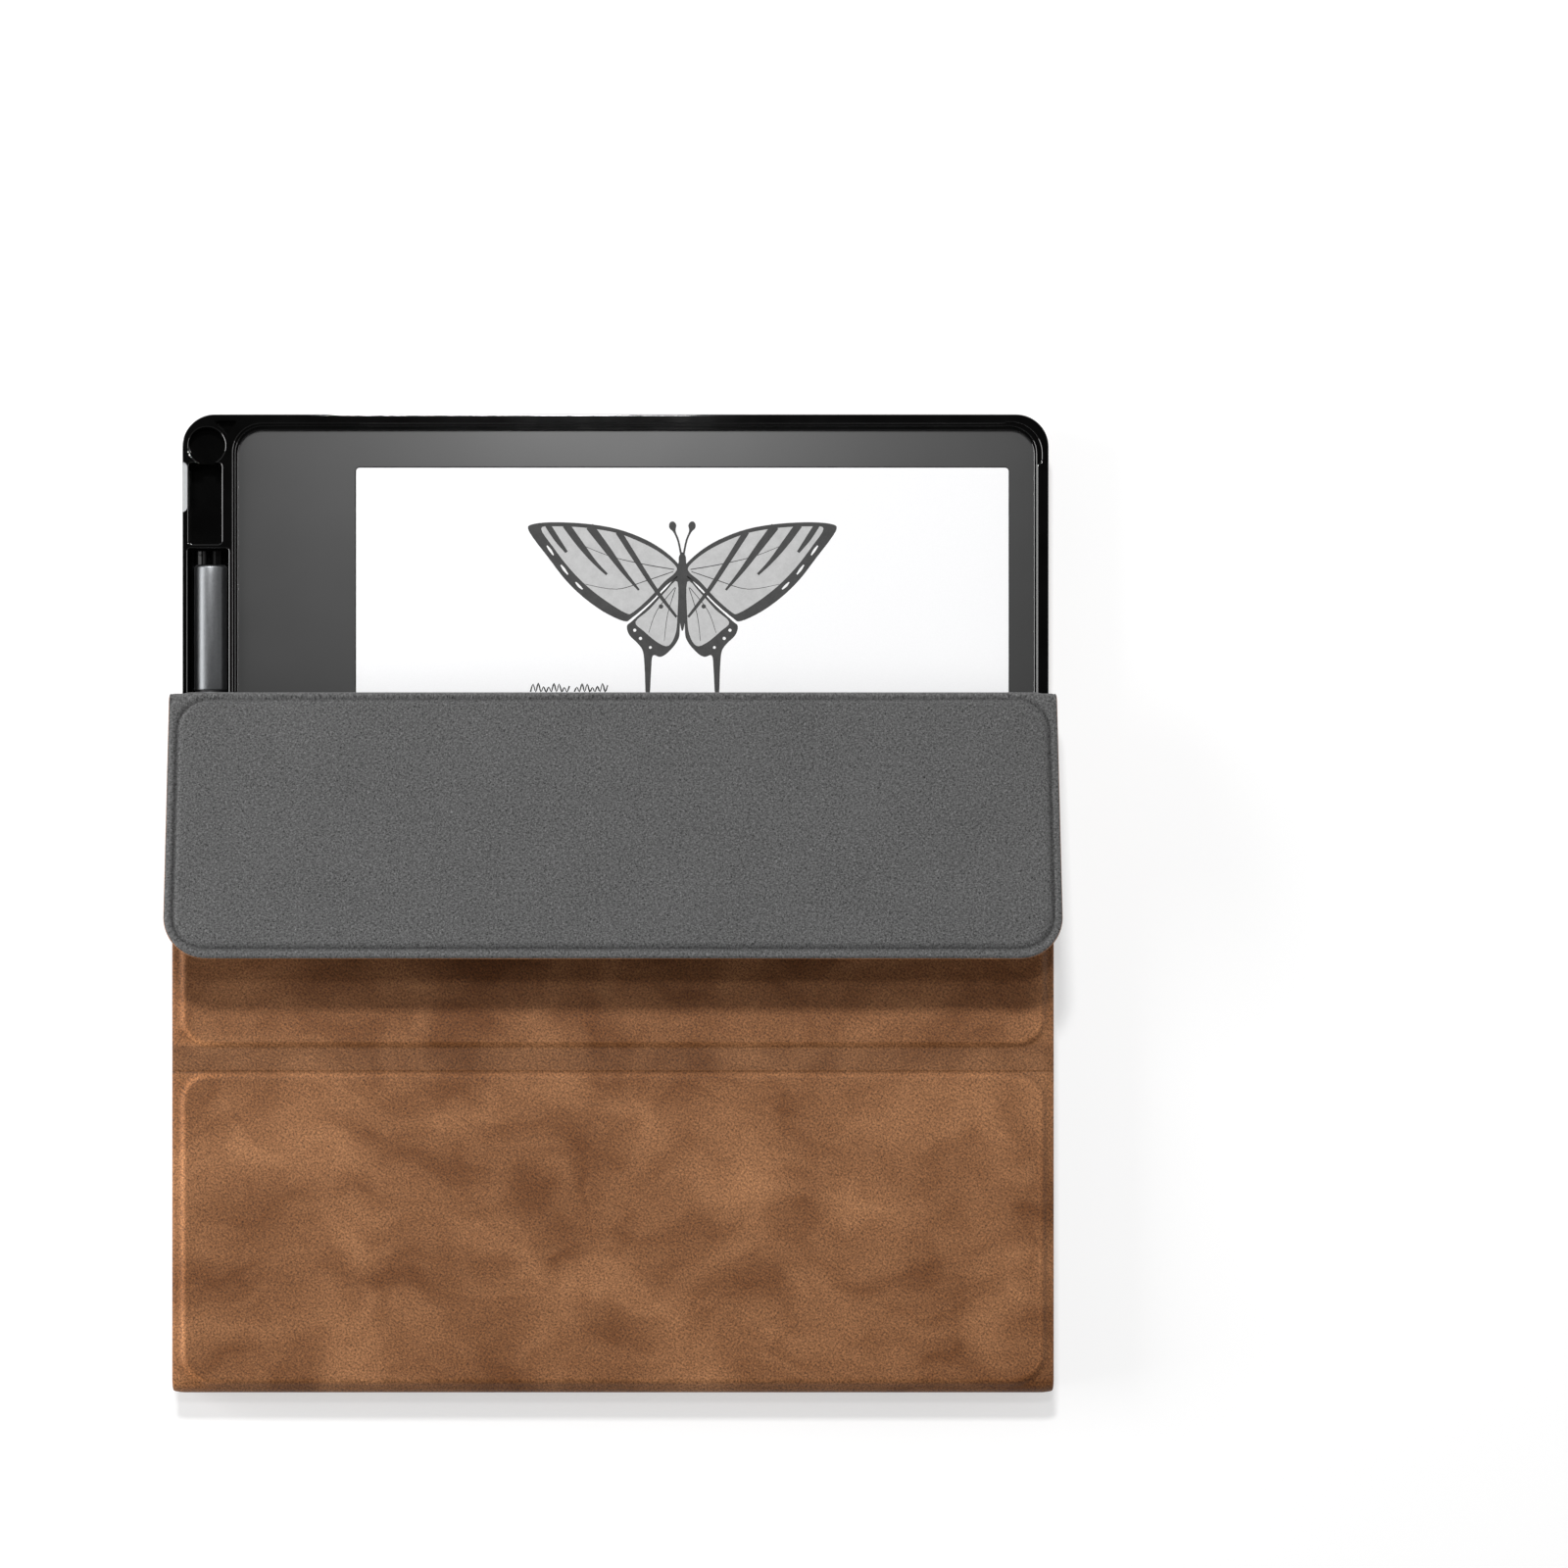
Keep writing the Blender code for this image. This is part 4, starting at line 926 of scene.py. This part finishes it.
VEINS = [
    [(2.0, 5.4, 0.22), (9.0, 6.6, 0.22), (17.5, 8.6, 0.16), (25.5, 11.8, 0.12)],
    [(2.2, 4.9, 0.2), (9.0, 2.6, 0.2), (16.0, 0.6, 0.14), (23.6, 1.8, 0.12)],
    [(1.6, 1.0, 0.18), (3.6, -5.6, 0.16), (4.4, -12.0, 0.12)],
    [(1.8, 1.0, 0.18), (6.2, -4.6, 0.16), (8.2, -10.0, 0.12)],
]
BODY = [
    (0.0, 9.6), (0.8, 8.6), (0.9, 7.2), (1.25, 5.6), (1.05, 3.4), (0.75, 1.0), (0.8, -3.0), (0.6, -7.4),
    (0.0, -9.6),
]
FEELER = [
    (0.3, 9.0, 0.5), (1.0, 12.4, 0.45), (1.9, 14.6, 0.6), (2.3, 15.7, 1.7), (2.4, 16.6, 1.5),
    (2.4, 17.1, 0.5),
]


DASHES = [
    [(24.3, 0.6, 0.3), (25.2, 1.4, 0.6), (26.0, 2.3, 0.3)],
    [(27.9, 4.2, 0.3), (28.8, 5.4, 0.6), (29.6, 6.5, 0.3)],
    [(31.4, 8.9, 0.3), (32.2, 10.1, 0.6), (33.0, 11.2, 0.3)],
]
DOTS = [(11.6, -9.4, 0.4), (10.2, -11.4, 0.4), (7.8, -13.6, 0.35)]
# z from and to of each print, just above the screen and over the prints before it
PRINT_Z = {
    "scribble": (9.935, 9.942),
    "wings": (9.935, 9.942),
    "wash": (9.944, 9.951),
    "veins": (9.952, 9.956),
    "spots": (9.952, 9.957),
    "stripes": (9.958, 9.963),
    "feelers": (9.958, 9.963),
    "body": (9.965, 9.970),
}


def between(a, b, c, d, t):
    """The value at t from b to c, on the Catmull-Rom curve through four values."""
    return 0.5 * (2 * b + (c - a) * t + (2 * a - 5 * b + 4 * c - d) * t * t + (3 * b - a - 3 * c + d) * t**3)


def through(points, steps=4, closed=True):
    """A smooth line through the points."""
    count = len(points)
    line = []
    for i in range(count if closed else count - 1):
        near = range(i - 1, i + 3)
        near = [points[k % count] if closed else points[min(max(k, 0), count - 1)] for k in near]
        line += [tuple(between(*values, j / steps) for values in zip(*near)) for j in range(steps)]
    return line if closed else [*line, points[-1]]


def stroke(points, steps=4):
    """The outline of a smooth pen line through (x, y, width) points."""
    line = through(points, steps, False)
    left, right = [], []
    for i, (x, y, width) in enumerate(line):
        before, after = line[max(i - 1, 0)], line[min(i + 1, len(line) - 1)]
        dx, dy = after[0] - before[0], after[1] - before[1]
        size = math.hypot(dx, dy)
        left.append((x - dy / size * width / 2, y + dx / size * width / 2))
        right.append((x + dy / size * width / 2, y - dx / size * width / 2))
    return left[::-1] + right


def printed(name, outlines, paint):
    """Flat prints that share a tone, as one thin piece on the screen."""
    upright = []
    for outline in outlines:
        area = sum(a[0] * b[1] - b[0] * a[1] for a, b in zip(outline, outline[1:] + outline[:1]))
        upright.append(outline if area > 0 else outline[::-1])
    piece = prism(f"drawing_{name}", upright, PRINT_Z[name], paint)
    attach(piece, "case_back")


def on_both_sides(outlines):
    x, y = DRAWING_PLACE
    return [[(x + side * px, y + py) for px, py in outline] for side in (-1, 1) for outline in outlines]


printed("wings", on_both_sides([through(FOREWING), through(HINDWING)]), INK_DARK)
printed("wash", on_both_sides([through(FORE_WASH), through(HIND_WASH)]), INK_GREY)
printed("veins", on_both_sides([stroke(vein) for vein in VEINS]), INK_DARK)
spots = [stroke(dash) for dash in DASHES] + [circle(*dot, 10) for dot in DOTS]
printed("spots", on_both_sides(spots), INK_PALE)
marks = [stroke(stripe) for stripe in FORE_STRIPES] + [circle(5.2, -3.6, 0.55, 14)]
printed("stripes", on_both_sides(marks), INK_DARK)
body_x, body_y = DRAWING_PLACE
body_outline = through(BODY + [(-x, y) for x, y in BODY[-2:0:-1]])
printed("body", [[(body_x + x, body_y + y) for x, y in body_outline]], INK_DARK)
printed("feelers", on_both_sides([stroke(FEELER)]), INK_DARK)

SCRIBBLE_Y = 52.15
LOOP_WIDTH = 0.62


def scribble(start, end, swing, seed):
    """A pen line of loops that spells nothing."""
    count = int((end - start) / LOOP_WIDTH)
    line = []
    for i in range(count + 1):
        tall = swing * (1.0 + 0.55 * math.sin(seed + 2.3 * i))
        y = SCRIBBLE_Y + (tall if i % 2 else -0.55 * swing)
        line.append((start + (end - start) * i / count, y, 0.26 + 0.1 * (i % 3 == 0)))
    return stroke(line, 3)


scribbles = [scribble(-20.1, -10.6, 1.05, 0.4), scribble(-9.4, -1.3, 1.0, 1.7)]
printed("scribble", scribbles, INK_BLACK)


# Stylus ----------------------------------------------------------------------------------------------------


STYLUS_X = -98.25
STYLUS_Z = 7.45
STYLUS_RADIUS = 4.0
STYLUS_TOP = 82.7
SEAM = (51.6, 51.62, 51.93, 51.95)  # y of the barrel's end, the collar's two ends and the cap's end


def lathe(name, profile, paint, steps=96):
    """Turns (radius, y) points about the stylus axis."""
    count = len(profile)
    points, faces = [], []
    for i in range(steps):
        angle = 2 * math.pi * i / steps
        for radius, y in profile:
            x, z = STYLUS_X + radius * math.cos(angle), STYLUS_Z + radius * math.sin(angle)
            points.append((x * MM, y * MM, z * MM))
        after = (i + 1) % steps * count
        faces += [(i * count + j, i * count + j + 1, after + j + 1, after + j) for j in range(count - 1)]
    obj = linked(name, points, faces, paint)
    mesh = obj.data
    work = bmesh.new()
    work.from_mesh(mesh)
    bmesh.ops.remove_doubles(work, verts=work.verts, dist=1e-6)
    bmesh.ops.recalc_face_normals(work, faces=work.faces)
    work.to_mesh(mesh)
    work.free()
    mesh.shade_smooth()
    mesh.set_sharp_from_angle(angle=math.radians(40))
    return obj


cap = [(0, STYLUS_TOP), (2.0, 82.68), (2.9, 82.6), *arc(3.2, 81.8, 0.8, 80, 0), (STYLUS_RADIUS, 80.0)]
cap += [(STYLUS_RADIUS, 52.2), *arc(3.75, 52.2, 0.25, 0, -90, 4), (0, SEAM[3])]
collar = [(0, SEAM[2]), (3.7, SEAM[2]), (3.7, SEAM[1]), (0, SEAM[1])]
barrel = [(0, SEAM[0]), (3.75, SEAM[0]), *arc(3.75, 51.35, 0.25, 90, 0, 4), (STYLUS_RADIUS, 50.0)]
barrel += [(STYLUS_RADIUS, -64.0), (3.9, -66.0), (3.4, -68.5), (1.75, -77.5), (1.55, -77.8), (0, -77.8)]
nib = [(0, -76.2), (0.75, -76.2), (0.75, -78.4), (0.6, -79.0), (0.3, -79.28), (0, -79.3)]
for name, profile, paint, slot_name, node in (
    ("stylus_cap_shell", cap, PEN, "anodised_grey", "stylus_eraser_cap"),
    ("stylus_seam_ring", collar, NIB, "nib_plastic", "stylus_collar"),
    ("stylus_barrel_shell", barrel, PEN, "anodised_grey", "stylus_barrel"),
    ("stylus_nib_tip", nib, NIB, "nib_plastic", "stylus_nib"),
):
    piece = lathe(name, profile, paint)
    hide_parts(node)
    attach(piece, "stylus")


# Stage -----------------------------------------------------------------------------------------------------

FLOOR_HALF = 3000
floor_outline = [(FLOOR_HALF * x, FLOOR_HALF * y) for x, y in ((-1, -1), (1, -1), (1, 1), (-1, 1))]
glow = {"Emission_Color": (1, 1, 1, 1), "Emission_Strength": 0.5}
floor_paint = Paint("floor", Base_Color=(0.55, 0.55, 0.55, 1), Roughness=0.9, **glow).material
floor = prism("floor", [floor_outline], (-2, -0.05), floor_paint)


def softbox(name, place, size, power, target=(0, 0, 0)):
    light = bpy.data.lights.new(name, "AREA")
    light.shape = "RECTANGLE"
    light.size, light.size_y = size
    light.energy = power
    obj = bpy.data.objects.new(name, light)
    obj.location = place
    obj.rotation_euler = (Vector(target) - Vector(place)).to_track_quat("-Z", "Y").to_euler()
    bpy.context.scene.collection.objects.link(obj)
    return obj


softbox("key_light", (-0.08, 0.74, 1.32), (0.16, 0.12), 13.2)
softbox("top_light", (0.0, 0.40, 1.6), (0.10, 0.10), 3.7)
softbox("left_light", (-0.97, 0.05, 0.34), (0.8, 0.7), 9.2, (0, 0.02, 0))
softbox("right_light", (1.2, 0.05, 0.30), (0.8, 0.45), 3.2, (0, 0.02, 0))

world = bpy.data.worlds.new("studio")
bpy.context.scene.world = world
world.use_nodes = True
sky = Nodes(world.node_tree)
direction = sky.add("TexCoord")
above = sky.ranged(sky.add("SeparateXYZ", {0: direction}, out=2), 0.80, 0.97, 1.0, 0.02)
behind = sky.ranged(sky.add("SeparateXYZ", {0: direction}, out=1), -0.75, 0.25, 0.3, 1.0, "LINEAR")
sky.set(sky.tree.nodes["Background"], {"Color": sky.math("MULTIPLY", above, behind), "Strength": 0.24})

camera = bpy.data.cameras.new("camera")
camera.lens = 99.45
camera.sensor_width = 36
camera.shift_x = 0.1090625
camera.shift_y = 0.07625
camera.clip_start = 0.05
camera_object = bpy.data.objects.new("camera", camera)
camera_object.location = (0, 0, 1.0654)
bpy.context.scene.collection.objects.link(camera_object)
bpy.context.scene.camera = camera_object
bpy.context.scene.view_settings.view_transform = "Standard"
